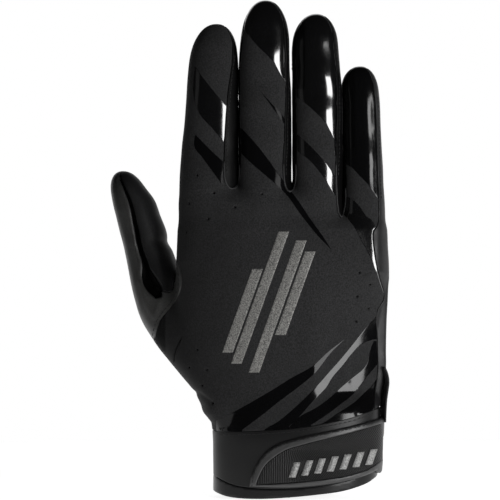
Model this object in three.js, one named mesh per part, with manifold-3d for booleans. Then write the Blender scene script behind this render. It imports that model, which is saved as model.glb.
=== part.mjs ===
// A thin black sport glove for the right hand, standing as if it were worn: fingers up (+Z), back of
// the hand to the front (-Y), thumb to the left (-X). Sizes are in millimetres, and the origin is the
// middle of the wrist opening. The hand is a hollow wall lofted through horizontal sections, and that
// wall is cut along the seams into the pieces that the real glove is sewn from.
import * as THREE from "three";
import { mergeVertices } from "three/addons/utils/BufferGeometryUtils.js";
import Module from "manifold-3d";

const wasm = await Module();
wasm.setup();

// Driving sizes
const wall = 1.8; // stretch knit, leather and neoprene with their padding
const gap = 0.3; // space left between neighbouring pieces
const film = 0.5; // gloss films and reflective bars
const strapThickness = 1.8;
const insertThickness = 0.5;
const bindingFold = 0.5; // how far the hem binding stands out from the cuff on both faces
const loopWidth = 10; // webbing of the pull loop
const splitY = 5; // back and palm pieces meet here at the fingertips and along the thumb side
const reach = 70; // cutting prisms run this far to the front and to the rear
const tipLength = 12; // the stretch below a fingertip where the wall turns over the tip

// How finely the outer and the inner face of the wall are divided: the sides of each section, and
// how many rows of its table make one step
const outerFace = { finger: 16, thumb: 14, hand: 26, cuff: 30, step: 1 };
const innerFace = { finger: 8, thumb: 8, hand: 16, cuff: 16, step: 2 };

// A section is a rounded box, 2 would be an ellipse
const roundness = { finger: 2.25, thumb: 2.15, hand: 2.6, cuff: 2.3 };

// Each row of a table is one horizontal section: its height, its left and right edge, and how far it
// reaches to the back of the hand and to the palm.
const table = (columns, rows) =>
  rows.map((row) => Object.fromEntries(columns.map((name, i) => [name, row[i]])));
const sectionColumns = ["z", "left", "right", "back", "palm"];

const sections = {
  index: table(sectionColumns, [
    [211.5, -39.1, -35.4, 2.5, 7.5],
    [209.1, -43.6, -31.3, -2.5, 11.7],
    [206.1, -45.6, -29.4, -4.0, 12.8],
    [201.5, -47.7, -28.1, -5.4, 13.4],
    [195.0, -49.2, -27.3, -6.6, 13.4],
    [172.0, -51.1, -27.5, -9.0, 12.0],
    [153.6, -52.8, -27.7, -10.3, 11.0],
    [137.5, -53.8, -27.8, -11.8, 10.4],
    [123.7, -53.4, -28.1, -11.5, 9.5],
  ]),
  middle: table(sectionColumns, [
    [222.0, -16.1, -12.7, 2.5, 7.0],
    [219.2, -21.0, -7.9, -2.6, 11.6],
    [216.2, -23.0, -6.2, -4.3, 12.8],
    [211.6, -24.6, -4.6, -5.8, 13.4],
    [204.2, -25.9, -3.7, -7.0, 13.2],
    [172.0, -26.6, -2.8, -10.3, 11.4],
    [149.0, -26.6, -2.8, -12.0, 10.8],
    [135.2, -26.5, -2.8, -13.0, 10.5],
    [121.4, -26.2, -3.2, -12.5, 10.0],
  ]),
  ring: table(sectionColumns, [
    [216.0, 6.4, 10.1, 2.5, 7.0],
    [213.2, 2.2, 15.1, -2.3, 11.5],
    [209.8, -0.1, 17.1, -4.0, 12.7],
    [204.2, -1.5, 18.5, -5.5, 13.2],
    [195.0, -2.1, 19.3, -6.8, 13.0],
    [181.2, -2.0, 20.2, -8.5, 12.2],
    [162.8, -1.8, 20.4, -10.0, 11.3],
    [139.8, -1.8, 20.5, -11.8, 10.5],
    [123.7, -1.6, 20.2, -12.0, 10.0],
  ]),
  little: table(sectionColumns, [
    [191.8, 25.8, 29.7, 3.5, 7.5],
    [189.1, 22.3, 34.6, -0.6, 11.2],
    [185.8, 21.3, 36.3, -2.0, 12.0],
    [180.3, 21.1, 37.4, -3.3, 12.2],
    [167.4, 21.2, 38.1, -5.0, 11.6],
    [153.6, 21.3, 38.8, -6.5, 11.0],
    [139.8, 21.4, 39.6, -8.2, 10.4],
    [126.0, 21.4, 40.3, -10.0, 9.8],
    [112.2, 22.1, 40.5, -10.0, 9.0],
  ]),
  thumb: table(sectionColumns, [
    [143.4, -81.0, -77.7, 19.0, 24.0],
    [140.8, -85.0, -74.1, 13.5, 29.5],
    [137.5, -85.6, -71.2, 11.5, 31.0],
    [132.5, -85.3, -66.8, 9.8, 32.0],
    [125.1, -83.5, -63.4, 8.5, 32.2],
    [115.9, -81.3, -60.2, 7.5, 32.0],
    [105.8, -78.8, -56.6, 6.0, 31.5],
    [96.1, -76.7, -52.0, 3.5, 31.0],
    [84.6, -74.4, -45.5, 0.0, 29.5],
    [74.5, -70.6, -39.1, -4.0, 28.0],
    [63.9, -64.0, -34.5, -8.5, 26.5],
    [52.4, -55.2, -30.8, -12.5, 25.0],
    [40.9, -46.0, -27.1, -15.5, 23.5],
    [31.7, -40.9, -25.3, -16.0, 20.0],
  ]),
  knuckles: table(sectionColumns, [
    [138.9, -48.3, 16.6, -5.5, 5.5],
    [135.7, -51.8, 19.8, -9.5, 8.5],
    [130.6, -53.4, 20.4, -12.5, 11.0],
    [123.7, -53.6, 20.5, -14.0, 12.5],
    [109.9, -52.0, 19.8, -14.0, 12.0],
  ]),
  palm: table(sectionColumns, [
    [126.5, -44.6, 34.5, -6.0, 6.0],
    [123.3, -51.1, 39.1, -11.5, 9.5],
    [107.6, -54.7, 41.9, -16.0, 14.0],
    [96.1, -55.0, 42.0, -17.0, 15.5],
    [84.6, -54.7, 41.5, -17.5, 17.0],
    [73.1, -54.7, 40.9, -17.8, 18.0],
    [61.6, -53.4, 41.0, -18.0, 18.5],
    [51.5, -49.2, 40.7, -18.3, 18.8],
    [42.3, -44.4, 38.4, -19.0, 19.5],
    [34.0, -41.4, 37.5, -20.5, 20.8],
    [24.8, -38.8, 37.3, -22.2, 22.2],
    [17.9, -38.6, 36.8, -22.8, 22.8],
  ]),
  cuff: table(sectionColumns, [
    [38.6, -42.3, 38.0, -19.8, 20.0],
    [30.4, -39.6, 37.9, -21.2, 21.2],
    [23.0, -38.8, 37.7, -22.4, 22.4],
    [13.3, -38.5, 37.4, -23.0, 23.0],
    [4.1, -38.4, 36.6, -23.4, 23.4],
    [-9.7, -38.5, 35.6, -23.4, 23.4],
  ]),
};

// Each row is a height on a finger's back, with the seam to its left and right. The last row is where
// the seams leave the back and run over the fingertip, outside the limits named in tips.
const seamColumns = ["z", "left", "right"];
const seams = {
  index: table(seamColumns, [
    [143.0, -50.3, -33.5],
    [153.1, -50.0, -33.2],
    [175.8, -48.7, -32.1],
    [199.4, -45.9, -29.4],
  ]),
  middle: table(seamColumns, [
    [142.0, -25.0, -6.2],
    [166.7, -25.3, -5.3],
    [194.0, -25.1, -5.2],
    [207.6, -23.9, -6.4],
  ]),
  ring: table(seamColumns, [
    [142.0, 0.6, 17.5],
    [166.7, 0.2, 18.1],
    [194.0, -0.1, 17.4],
    [203.1, 0.6, 16.3],
  ]),
  little: table(seamColumns, [
    [131.0, 22.7, 37.5],
    [148.5, 22.8, 36.4],
    [171.3, 22.5, 35.6],
    [179.4, 22.7, 34.7],
  ]),
};
const tips = {
  index: { left: -60, right: -27.0 },
  middle: { left: -27.2, right: -2.4 },
  ring: { left: -2.4, right: 24 },
  little: { left: 20.7, right: 50 },
};
const tipRise = 2.2; // from the last seam row to where the seam has left the back
const above = 240; // higher than every fingertip
const below = -40; // lower than the hem

// Lowest point of the gusset's rounded end on the back of the hand, left to right
const gussetEnds = [135.4, 134.2, 122.6];
const gussetSteps = 5;

// Lines on the back of the hand, each a run of [x, z]
const leftEdge = [[-110, 20], [-110, 62], [-65.3, 67.6], [-62.5, 73.6], [-58, 79.5], [-53, 84.9],
  [-53.7, 102.2], [-52.1, 116.7], [-50.7, 130.4]];
const rightEdge = [[38.1, 107.6], [39.7, 86.3], [37.7, 78.6], [37.5, 59.9], [39.5, 52.2],
  [36.1, 46.7], [35, 34.5], [35, 20]];
const cuffSeam = [[-120, 26], [-16.2, 25.8], [1.1, 27.2], [14.7, 29.5], [23.8, 31.3], [34.3, 34.5],
  [120, 48]];
const bindingLine = [[-120, 14], [-38, 4.2], [-29, 0.8], [-20, -0.3], [-3.4, -0.3], [10.2, 0.8],
  [23.8, 3.1], [36.1, 8.6], [120, 20]];
const hemLine = [[-120, 4], [-38.4, -0.4], [-32, -3.6], [-18.9, -4.8], [-4, -4.4], [15.5, -2.1],
  [27.3, 0.6], [37.2, 5], [120, 12]];
const thumbValley = [[-81.6, 160], [-81.6, 144.9], [-80.2, 139.5], [-78, 134.9], [-75.7, 128.1],
  [-72.1, 112.2], [-69.3, 104], [-62.5, 92.2], [-61.2, 89], [-57.1, 89], [-55.7, 92.6],
  [-54, 101], [-45, 101], [-45, 40], [-120, 40], [-120, 160]];
const thumbArea = [[-120, 160], [-56, 160], [-56, 108], [-54.7, 102.2], [-53, 84.9], [-58, 79.5],
  [-62.5, 73.6], [-65.3, 67.6], [-72, 62], [-120, 62]];

// Outlines of the gloss films on the back of the glove, each a run of [x, z]
const inlays = {
  index_upper: [[-46.6, 192.2], [-43, 186.3], [-34.3, 175.4], [-31.9, 170.4], [-33, 156.3],
    [-35.7, 159], [-42.1, 166.7], [-46.2, 171.3]],
  index_lower: [[-46.8, 161.7], [-39.8, 153.5], [-33.9, 148.1], [-34.3, 136], [-38.4, 141.7],
    [-43.9, 148.5], [-47.2, 154.5]],
  middle_tip: [[-23.6, 207.2], [-20.3, 204], [-16.2, 199.9], [-10.7, 194], [-5.6, 184.9],
    [-6.2, 204], [-7.4, 211], [-10, 217], [-14, 220], [-18.5, 217.5], [-21.5, 213]],
  middle_slit: [[-17.1, 180.4], [-11.6, 174], [-8, 169.4], [-5.6, 166.3], [-5.6, 162.6],
    [-9.8, 169.9]],
  middle_sweep: [[-24.6, 164.4], [-15.7, 152.2], [-6.2, 138.5], [1.1, 129], [6.6, 120.8],
    [15.6, 107.6], [9.3, 114.5], [4.7, 120.4], [-3.9, 130.8], [-16.2, 141.7], [-24.6, 150.8]],
  ring_tip: [[0.8, 177], [6.6, 172.2], [10.6, 168.1], [14.7, 163.1], [17.4, 157.2], [17.2, 190],
    [16, 203], [13.5, 210], [8.3, 213.8], [3.2, 209], [0.9, 200]],
  ring_band: [[0.8, 159.8], [7, 154], [11.1, 149.5], [17.3, 141.2], [17.3, 132.3], [12.9, 139.5],
    [5.6, 148.5], [0.8, 152.6]],
  little_tip: [[23.2, 146.8], [28.8, 141.3], [32, 138.1], [36.9, 131.4], [36, 150], [35.2, 175],
    [33.6, 183], [28, 188], [24, 183], [23, 172]],
  little_sweep: [[23.6, 131.8], [28.4, 127.2], [35.6, 118.5], [33.8, 114.5], [36.6, 99.5],
    [39, 89], [36.9, 94.2], [31.1, 108.5], [27.5, 115.8], [22.8, 122]],
  wrist_1: [[21.6, 66.3], [12.5, 60.4], [-16.2, 42.6], [-34.3, 31.3], [-34.3, 27], [-25.3, 27],
    [-16.2, 33.6], [2.5, 48.6], [12.5, 58.6]],
  wrist_2: [[36.6, 78.8], [28.8, 67.6], [14.7, 53.1], [1.1, 40.4], [-13, 28.2], [-5.5, 28.2],
    [9.3, 42.6], [14.7, 49], [26.6, 62.2], [34.6, 66.5], [36.6, 71.3]],
  wrist_3: [[32.9, 59.9], [31.1, 54.5], [19.3, 44.5], [13.8, 39.5], [7.9, 35.8], [-0.5, 29.5],
    [5, 29.5], [14.7, 34], [27.5, 44], [33.8, 52.2], [36.4, 56.7]],
  wrist_4: [[34.2, 45.7], [24.7, 37.2], [18, 33], [23.8, 33.2], [33.8, 36.4], [34.2, 40.4]],
};

// A row of plain slanted bars across the middle of the back, each as tall as its row says
const barColumns = ["x", "z", "height"];
const bars = table(barColumns, [
  [-25, 80, 38],
  [-17, 86, 60],
  [-9, 82, 60],
  [-1, 88, 38],
]);
const barWidth = 4.8;
const barSlant = 0.36; // sideways run of a bar for each millimetre of its height

// The strap's face on the front, its end behind the little finger side, and the ribbed insert
const strapFace = [[-21.6, 0.4], [-20.7, 5.4], [-18.4, 10.8], [-14.8, 15.8], [-8.9, 19.9],
  [-3.4, 21.7], [10.2, 24.9], [23.8, 27.7], [33.8, 29.9], [48, 32.2], [48, 11.8], [38.8, 11.3],
  [38.1, 8.1], [36.3, 7], [34.7, 8.3], [31.1, 5.8], [23.8, 3.6], [10.2, 1.3], [-3.4, 0.2]];
const strapEnd = [[20, 12], [48, 11.8], [48, 32.2], [20, 30]];
const insertFace = [[-18, 1.3], [-16.6, 5.4], [-13.9, 9.9], [-5.3, 16.5], [1.6, 18.8],
  [10.2, 21.1], [23.8, 24.2], [38.2, 28], [38.2, 13.1], [33.8, 10.4], [29.3, 8.1], [21.6, 6.1],
  [5.6, 4.2], [-8, 2.9]];
const loopFace = [[40.6, 53.4], [42.1, 50.6], [42.8, 46.9], [42.3, 42.3], [41.6, 36.3],
  [41.1, 31], [39, 31], [39.5, 36.3], [40.1, 42.3], [40.6, 46.5], [39, 50]];

const weld = 1e-4; // points closer than this are one vertex
const thinnest = 0.25; // share of a section's half width that is left of it when it is set in
const mitreLimit = 3; // a sharp corner moves out by at most this many times the distance

// A closed BufferGeometry as a solid that can be joined and cut
function solidOf(geometry) {
  geometry.deleteAttribute("normal");
  geometry.deleteAttribute("uv");
  const merged = mergeVertices(geometry, weld);
  return new wasm.Manifold(
    new wasm.Mesh({
      numProp: 3,
      vertProperties: merged.attributes.position.array,
      triVerts: new Uint32Array(merged.index.array),
    }),
  );
}

// The points round one section, set in by depth, or out where depth is negative
function ring(row, sides, power, depth, top) {
  const middleX = (row.left + row.right) / 2;
  const middleY = (row.back + row.palm) / 2;
  const inset = (half) => Math.max(half - depth, half * thinnest);
  const halfX = inset((row.right - row.left) / 2);
  const halfY = inset((row.palm - row.back) / 2);
  const turn = THREE.MathUtils.clamp(1 - (top - row.z) / tipLength, 0, 1);
  const bend = (value) => Math.sign(value) * Math.abs(value) ** (2 / power);
  return Array.from({ length: sides }, (_, i) => {
    const angle = (2 * Math.PI * i) / sides;
    return [middleX + halfX * bend(Math.cos(angle)), middleY + halfY * bend(Math.sin(angle)),
      row.z - depth * turn];
  });
}

// A closed body through the sections of a table, which run from the top down
function loft(name, kind, depth, face) {
  const sides = face[kind];
  const last = sections[name].length - 1;
  const rows = sections[name].filter((_, i) => i % face.step === 0 || i === last);
  const rings = rows.map((row) => ring(row, sides, roundness[kind], depth, rows[0].z));
  const points = rings.flat();
  const middle = (list) => [0, 1, 2].map((k) => list.reduce((sum, p) => sum + p[k], 0) / sides);
  const topPole = points.push(middle(rings[0])) - 1;
  const bottomPole = points.push(middle(rings[rings.length - 1])) - 1;
  const faces = [];
  for (let i = 0; i < sides; i++) {
    const next = (i + 1) % sides;
    faces.push(topPole, i, next);
    for (let r = 0; r + 1 < rows.length; r++) {
      const [a, b] = [r * sides + i, r * sides + next];
      faces.push(a, a + sides, b, b, a + sides, b + sides);
    }
    const lowest = (rows.length - 1) * sides;
    faces.push(bottomPole, lowest + next, lowest + i);
  }
  const geometry = new THREE.BufferGeometry();
  geometry.setAttribute("position", new THREE.Float32BufferAttribute(points.flat(), 3));
  geometry.setIndex(faces);
  return solidOf(geometry);
}

// The whole hand as one body, set in by depth
function handForm(depth, face = outerFace) {
  return ["index", "middle", "ring", "little"]
    .map((name) => loft(name, "finger", depth, face))
    .concat(loft("thumb", "thumb", depth, face))
    .concat(loft("knuckles", "hand", depth, face), loft("palm", "hand", depth, face))
    .reduce((all, one) => all.add(one));
}

const cuffForm = (depth, face = outerFace) => loft("cuff", "cuff", depth, face);

// A prism with the outline in the X-Z plane, from one depth to another
function prism(outline, from = -reach, to = reach) {
  const shape = new THREE.Shape(outline.map(([x, z]) => new THREE.Vector2(x, z)));
  const geometry = new THREE.ExtrudeGeometry(shape, { depth: to - from, bevelEnabled: false });
  geometry.rotateX(Math.PI / 2);
  geometry.translate(0, to, 0);
  return solidOf(geometry);
}

// The outline moved outwards by a distance along each corner's bisector
function grow(outline, distance) {
  const points = outline.map(([x, z]) => new THREE.Vector2(x, z));
  const side = THREE.ShapeUtils.isClockWise(points) ? -1 : 1;
  const normal = (a, b) => new THREE.Vector2(b.y - a.y, a.x - b.x).normalize();
  return points.map((point, i) => {
    const before = normal(points.at(i - 1), point);
    const after = normal(point, points[(i + 1) % points.length]);
    const bisector = before.clone().add(after).normalize();
    const run = Math.min(distance / bisector.dot(before), mitreLimit * distance);
    const moved = point.clone().addScaledVector(bisector, side * run);
    return [moved.x, moved.y];
  });
}

// Everything between two lines that run from left to right
const between = (lower, upper) => prism([...lower, ...[...upper].reverse()]);
const raised = (line, by) => line.map(([x, z]) => [x, z + by]);
const ceiling = [[-120, above], [120, above]];

const largest = (solid) =>
  solid.decompose().reduce((best, body) => (body.volume() > best.volume() ? body : best));

// One finger's stretch of the back outline: up the left seam, over the tip and down the right seam
function fingerPath(name, wideLeft, wideRight) {
  const rows = seams[name];
  const tip = tips[name];
  const top = rows.at(-1).z + tipRise;
  const left = wideLeft ? [[tip.left, rows[0].z]] : rows.map((row) => [row.left, row.z]);
  const right = wideRight ? [[tip.right, rows[0].z]] : rows.map((row) => [row.right, row.z]);
  const over = [[tip.left, top], [tip.left, above], [tip.right, above], [tip.right, top]];
  return [...left, ...over, ...right.reverse()];
}

// The rounded end of a gusset, from the seam of one finger to that of the next
function gussetEnd(from, to, lowest) {
  const [start, end] = [seams[from][0], seams[to][0]];
  return Array.from({ length: gussetSteps }, (_, i) => {
    const angle = (Math.PI * (i + 1)) / (gussetSteps + 1);
    const along = (1 - Math.cos(angle)) / 2;
    const level = THREE.MathUtils.lerp(start.z, end.z, along);
    return [THREE.MathUtils.lerp(start.right, end.left, along),
      level - (level - lowest) * Math.sin(angle)];
  });
}

// The outline of the back panel, or with wide sides that of the back and palm panels together
function handOutline(wide) {
  const [first, second, third] = gussetEnds;
  return [
    ...(wide ? [[tips.index.left, below]] : leftEdge),
    ...fingerPath("index", wide, false),
    ...gussetEnd("index", "middle", first),
    ...fingerPath("middle", false, false),
    ...gussetEnd("middle", "ring", second),
    ...fingerPath("ring", false, false),
    ...gussetEnd("ring", "little", third),
    ...fingerPath("little", false, wide),
    ...(wide ? [[tips.little.right, below]] : rightEdge),
  ];
}

const group = new THREE.Group();

// Adds a solid to the group as a named mesh
function addPiece(name, solid, color, roughness, metalness = 0) {
  const cut = solid.getMesh();
  const geometry = new THREE.BufferGeometry();
  geometry.setAttribute("position", new THREE.BufferAttribute(cut.vertProperties, 3));
  geometry.setIndex(new THREE.BufferAttribute(cut.triVerts, 1));
  geometry.computeVertexNormals();
  const material = new THREE.MeshStandardMaterial({ color, roughness, metalness });
  const mesh = new THREE.Mesh(geometry, material);
  mesh.name = name;
  group.add(mesh);
}

// The sewn hand: back panel, palm panel, gussets between the fingers and the two thumb pieces
function addHand() {
  const shell = handForm(0).subtract(handForm(wall, innerFace));
  const sewn = shell.intersect(between(raised(cuffSeam, gap), ceiling));
  const hand = sewn.subtract(prism(grow(thumbArea, gap)));
  const thumb = sewn.intersect(prism(thumbArea));
  const backCut = prism(handOutline(false), -reach, splitY);
  const backCutWide = prism(grow(handOutline(false), gap), -reach, splitY + gap);
  const wholeCut = prism(handOutline(true));
  addPiece("back_panel", largest(hand.intersect(backCut)), 0x1c1c1e, 0.85);
  addPiece("palm_panel", largest(hand.intersect(wholeCut).subtract(backCutWide)), 0x121213, 0.5);

  const places = ["index_middle", "middle_ring", "ring_little"];
  const middleX = (body) => (body.boundingBox().min[0] + body.boundingBox().max[0]) / 2;
  const gussets = hand
    .subtract(prism(grow(handOutline(true), gap)))
    .decompose()
    .sort((a, b) => b.volume() - a.volume())
    .slice(0, places.length)
    .sort((a, b) => middleX(a) - middleX(b));
  places.forEach((place, i) =>
    addPiece(`fourchette_${place}`, gussets[i], 0x0e0e0f, 0.4),
  );
  addPiece("thumb_outer", largest(thumb.intersect(prism(thumbValley))), 0x171718, 0.45);
  addPiece("thumb_inner", largest(thumb.subtract(prism(grow(thumbValley, gap)))), 0x0c0c0d, 0.5);
}

// Gloss films and reflective bars, which lie on the back panel
function addFilms() {
  const skin = handForm(-gap - film).subtract(handForm(-gap));
  const onBack = (outline) => largest(skin.intersect(prism(outline, -reach, 0)));
  for (const [place, outline] of Object.entries(inlays))
    addPiece(`inlay_${place}`, onBack(outline), 0x050506, 0.08);
  bars.forEach((bar, i) => {
    const [rise, run] = [bar.height / 2, (barSlant * bar.height) / 2];
    const corner = (side, end) => [bar.x + (side * barWidth) / 2 + end * run, bar.z + end * rise];
    const outline = [corner(-1, -1), corner(1, -1), corner(1, 1), corner(-1, 1)];
    addPiece(`emblem_bar_${i + 1}`, onBack(outline), 0x9a9a9c, 0.45, 0.4);
  });
}

// Wrist: neoprene band, hem binding, closure strap with its ribbed insert, and the pull loop
function addCuff() {
  const band = cuffForm(0).subtract(cuffForm(wall, innerFace));
  const bandZone = between(raised(bindingLine, gap), cuffSeam);
  addPiece("cuff_band", largest(band.intersect(bandZone)), 0x161617, 0.6);

  const fold = cuffForm(-bindingFold).subtract(cuffForm(wall + bindingFold, innerFace));
  const foldZone = between(hemLine, bindingLine);
  addPiece("hem_binding", largest(fold.intersect(foldZone)), 0x1b1b1c, 0.6);

  const strapInside = gap;
  const strapOutside = strapInside + strapThickness;
  const strapZone = prism(strapFace, -reach, 0).add(prism(strapEnd, 0, reach));
  const strap = cuffForm(-strapOutside).subtract(cuffForm(-strapInside - bindingFold));
  addPiece("closure_strap", largest(strap.intersect(strapZone)), 0x19191a, 0.55);

  const insertInside = strapOutside + gap;
  const insert = cuffForm(-insertInside - insertThickness).subtract(cuffForm(-insertInside));
  addPiece("strap_insert", largest(insert.intersect(prism(insertFace, -reach, 0))), 0x222223, 0.7);

  const strapZoneWide = prism(grow(strapEnd, gap));
  const loop = prism(loopFace, -loopWidth / 2, loopWidth / 2)
    .subtract(handForm(-gap))
    .subtract(cuffForm(-gap))
    .subtract(cuffForm(-strapOutside - gap).intersect(strapZoneWide));
  addPiece("pull_loop", largest(loop), 0x141415, 0.6);
}

addHand();
addFilms();
addCuff();

export default group;
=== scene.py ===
import math

import bpy
import numpy as np
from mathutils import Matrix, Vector
from mathutils.kdtree import KDTree


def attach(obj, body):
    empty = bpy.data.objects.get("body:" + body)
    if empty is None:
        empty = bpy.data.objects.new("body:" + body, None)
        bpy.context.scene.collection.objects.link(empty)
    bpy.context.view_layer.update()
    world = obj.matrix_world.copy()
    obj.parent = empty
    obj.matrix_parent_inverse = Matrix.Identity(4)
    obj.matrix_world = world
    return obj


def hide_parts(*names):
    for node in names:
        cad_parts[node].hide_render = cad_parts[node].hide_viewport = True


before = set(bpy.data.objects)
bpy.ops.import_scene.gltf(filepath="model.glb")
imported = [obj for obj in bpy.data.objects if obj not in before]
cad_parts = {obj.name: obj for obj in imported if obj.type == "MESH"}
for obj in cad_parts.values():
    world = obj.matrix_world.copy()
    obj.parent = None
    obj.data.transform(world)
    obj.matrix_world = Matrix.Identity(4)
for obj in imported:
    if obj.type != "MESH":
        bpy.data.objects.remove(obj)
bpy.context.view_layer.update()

MM = 0.001
CORNERS = [(-1, -1), (1, -1), (1, 1), (-1, 1)]     # of a square

# Driving sizes
STEP = 1.0            # spacing of the mesh on the sewn hand and on the wrist
WALL = 1.5            # thickness of knit, leather and neoprene
SEAM = 0.42           # a panel's edge rolls in over this distance
SEAM_DEPTH = 0.5      # how deep the edge rolls in at a seam
FILM = 0.1            # gloss films stand this far above the knit
FILM_WALL = 0.07
FILM_EDGE = 0.4       # width of a film's bevelled edge
FILM_ROLL = 0.015     # how far the edge goes down
PRINT = 0.08          # reflective bars stand this far above the knit
PRINT_WALL = 0.05
PRINT_ROLL = (0.05, 0.2)      # how far their edge goes down, and its width
SPLIT_Y = 5.0         # back and palm meet here at the fingertips
STRAP_FACE = 2.1      # outer face of the strap above the wrist band
STRAP_WALL = 1.5
WELT = 0.7            # the welt round the strap's insert stands out this far
HEM_WALL = 2.1        # thickness of the folded binding

# The hand and the wrist are meshed within these boxes. The hand's mesh starts this far inside its
# surface and is then moved out, so that the slits between the fingers stay open.
HAND_BOX = (-92, -30, 20), (48, 38, 228)
WRIST_BOX = (-46, -27, -10), (44, 27, 44)
NET_DEPTH = 1.2
ABOVE = 240           # higher than all fingertips
BELOW = -40           # lower than the hem

# How far a point of the mesh may slide to lie on a line that is cut into it
SNAP = 0.25
CLOSE_SNAP = 0.2
LEVEL_SNAP = 0.15
FILM_SNAP = 0.18
FINE_SNAP = 0.05

# It slides to a point or an edge only where the surface faces the viewer at least this much
POINT_FACING = 0.5
EDGE_FACING = 0.4
EDGE_SHARE = 0.6      # and to an edge only over this share of the distance

# The sections of the hand: height, left and right edge, reach to the back of the hand and to the
# palm. The fingertips close over these as rounded ends of the height given by "tip".
LIMBS = {
    "index": dict(top=211.7, tip=22, bottom=108, power=2.25, rows=[
        (211.7, -49.0, -25.4, -5.2, 14.2), (206.0, -49.3, -25.8, -5.6, 14.4),
        (195.0, -49.8, -27.0, -6.8, 13.6), (186.0, -50.4, -26.8, -7.8, 12.8),
        (172.0, -51.4, -26.7, -9.0, 12.0), (153.6, -53.0, -26.7, -10.3, 11.0),
        (137.5, -54.1, -26.7, -11.8, 10.4), (123.7, -54.1, -27.2, -11.5, 9.5)]),
    "middle": dict(top=222.6, tip=22, bottom=108, power=2.45, rows=[
        (222.6, -25.9, -2.9, -5.6, 14.0), (205.0, -26.1, -3.5, -6.9, 13.4),
        (194.0, -26.6, -3.3, -8.0, 12.6), (186.0, -27.0, -2.9, -8.8, 12.2),
        (172.0, -27.05, -2.6, -10.3, 11.4), (149.0, -27.05, -2.5, -12.0, 10.8),
        (135.2, -27.0, -2.5, -13.0, 10.5), (121.4, -26.6, -3.0, -12.5, 10.0)]),
    "ring": dict(top=216.5, tip=20, bottom=108, power=2.25, rows=[
        (216.5, -2.5, 20.2, -5.2, 14.0), (200.0, -2.4, 19.4, -6.2, 13.2),
        (191.4, -2.35, 19.9, -7.2, 12.8), (181.2, -2.25, 20.9, -8.5, 12.2),
        (162.8, -2.2, 21.1, -10.0, 11.3), (139.8, -2.15, 21.1, -11.8, 10.5),
        (123.7, -1.9, 20.8, -12.0, 10.0)]),
    "little": dict(top=192.2, tip=12.5, bottom=100, power=2.4, rows=[
        (192.2, 20.2, 37.6, -2.8, 12.6), (183.0, 20.3, 37.8, -3.4, 12.2),
        (177.6, 20.8, 38.1, -4.0, 12.0), (167.4, 21.0, 38.6, -5.0, 11.6),
        (153.6, 21.0, 39.2, -6.5, 11.0), (139.8, 21.0, 39.8, -8.2, 10.4),
        (126.0, 21.0, 40.5, -10.0, 9.8), (112.2, 21.6, 40.7, -10.0, 9.0)]),
    "thumb": dict(top=144.5, tip=20, bottom=24, power=2.15, rows=[
        (144.5, -90.9, -70.7, 10.4, 31.6), (136.6, -88.4, -68.6, 9.9, 31.8),
        (130.9, -86.3, -65.7, 9.4, 32.0), (125.3, -84.6, -63.9, 8.6, 32.2),
        (114.2, -81.9, -60.2, 7.2, 32.0), (111.5, -81.2, -60.1, 6.8, 31.9),
        (107.5, -80.2, -57.8, 6.2, 31.7), (102.9, -79.1, -56.0, 5.4, 31.4),
        (91.8, -77.0, -50.0, 2.6, 30.6), (83.4, -74.8, -45.0, -0.4, 29.5),
        (77.8, -73.0, -41.5, -2.6, 28.8), (72.2, -70.4, -38.5, -4.9, 27.9),
        (66.6, -66.7, -36.0, -7.2, 27.0), (60.9, -62.6, -34.0, -9.3, 26.3),
        (55.4, -58.2, -32.0, -11.4, 25.5), (49.8, -53.2, -30.5, -13.0, 24.8),
        (44.2, -48.3, -29.0, -14.5, 24.2), (38.6, -44.4, -27.0, -15.6, 23.0),
        (30.6, -40.6, -25.3, -16.0, 20.0)]),
    "knuckles": dict(top=137.2, tip=9, bottom=90, power=2.5, rows=[
        (137.2, -52.6, 20.0, -12.6, 11.0), (123.7, -52.6, 20.2, -14.2, 12.5),
        (109.9, -52.0, 19.8, -14.0, 12.0)]),
    "palm": dict(top=125.2, tip=9, bottom=-40, power=2.6, rows=[
        (125.2, -53.2, 39.9, -13.2, 11.4), (107.6, -54.9, 41.6, -16.0, 14.0),
        (96.1, -55.3, 42.1, -17.0, 15.5), (84.6, -55.0, 41.7, -17.5, 17.0),
        (73.1, -54.6, 41.1, -17.8, 18.0), (61.6, -53.2, 41.1, -18.0, 18.5),
        (51.5, -48.8, 40.8, -18.3, 18.8), (42.3, -43.6, 39.0, -19.0, 19.5),
        (34.0, -41.0, 38.2, -20.5, 20.8), (24.8, -38.8, 37.7, -22.2, 22.2),
        (17.9, -38.6, 37.2, -22.8, 22.8)]),
    "cuff": dict(top=None, tip=1, bottom=-60, power=2.3, rows=[
        (38.6, -42.3, 38.3, -19.8, 20.0), (30.4, -39.6, 38.2, -21.2, 21.2),
        (23.0, -38.8, 37.9, -22.4, 22.4), (13.3, -38.6, 37.6, -23.0, 23.0),
        (4.1, -38.5, 36.9, -23.4, 23.4), (-9.7, -38.6, 36.0, -23.4, 23.4)]),
}
FINGERS = ["index", "middle", "ring", "little"]
TIP_POWER = 2.2
LEAST_WIDTH = 4       # no section is narrower than this
END_SLOPE = 0.25      # how fast the distance grows below a limb's lower end

# Radii that blend the fingers into the hand, and the thumb into it at the wrist and above
FILLET = 3.2
WRIST_FILLET = 0.8
THUMB_FILLET = 7.0
THUMB_FILLET_Z = (26, 14)     # it grows from this height, over this distance

# A span, here and below, gives the level where a form starts, over how much it grows, the level
# where it ends and over how much it fades.

# Below the little finger the back falls away to the side. FALL_X says where that starts, and the
# two places between which it gets less steep again.
FALL_X = (4, 14, 30)
FALL_SLOPE = 0.36
FALL_START = 6        # the slope comes in over this distance
FALL_EASING = 0.007
FALL_SPAN = (33, 11, 112, 45)
FALL_Y = 3.5          # it fades out over this depth, towards the middle of the hand

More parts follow.
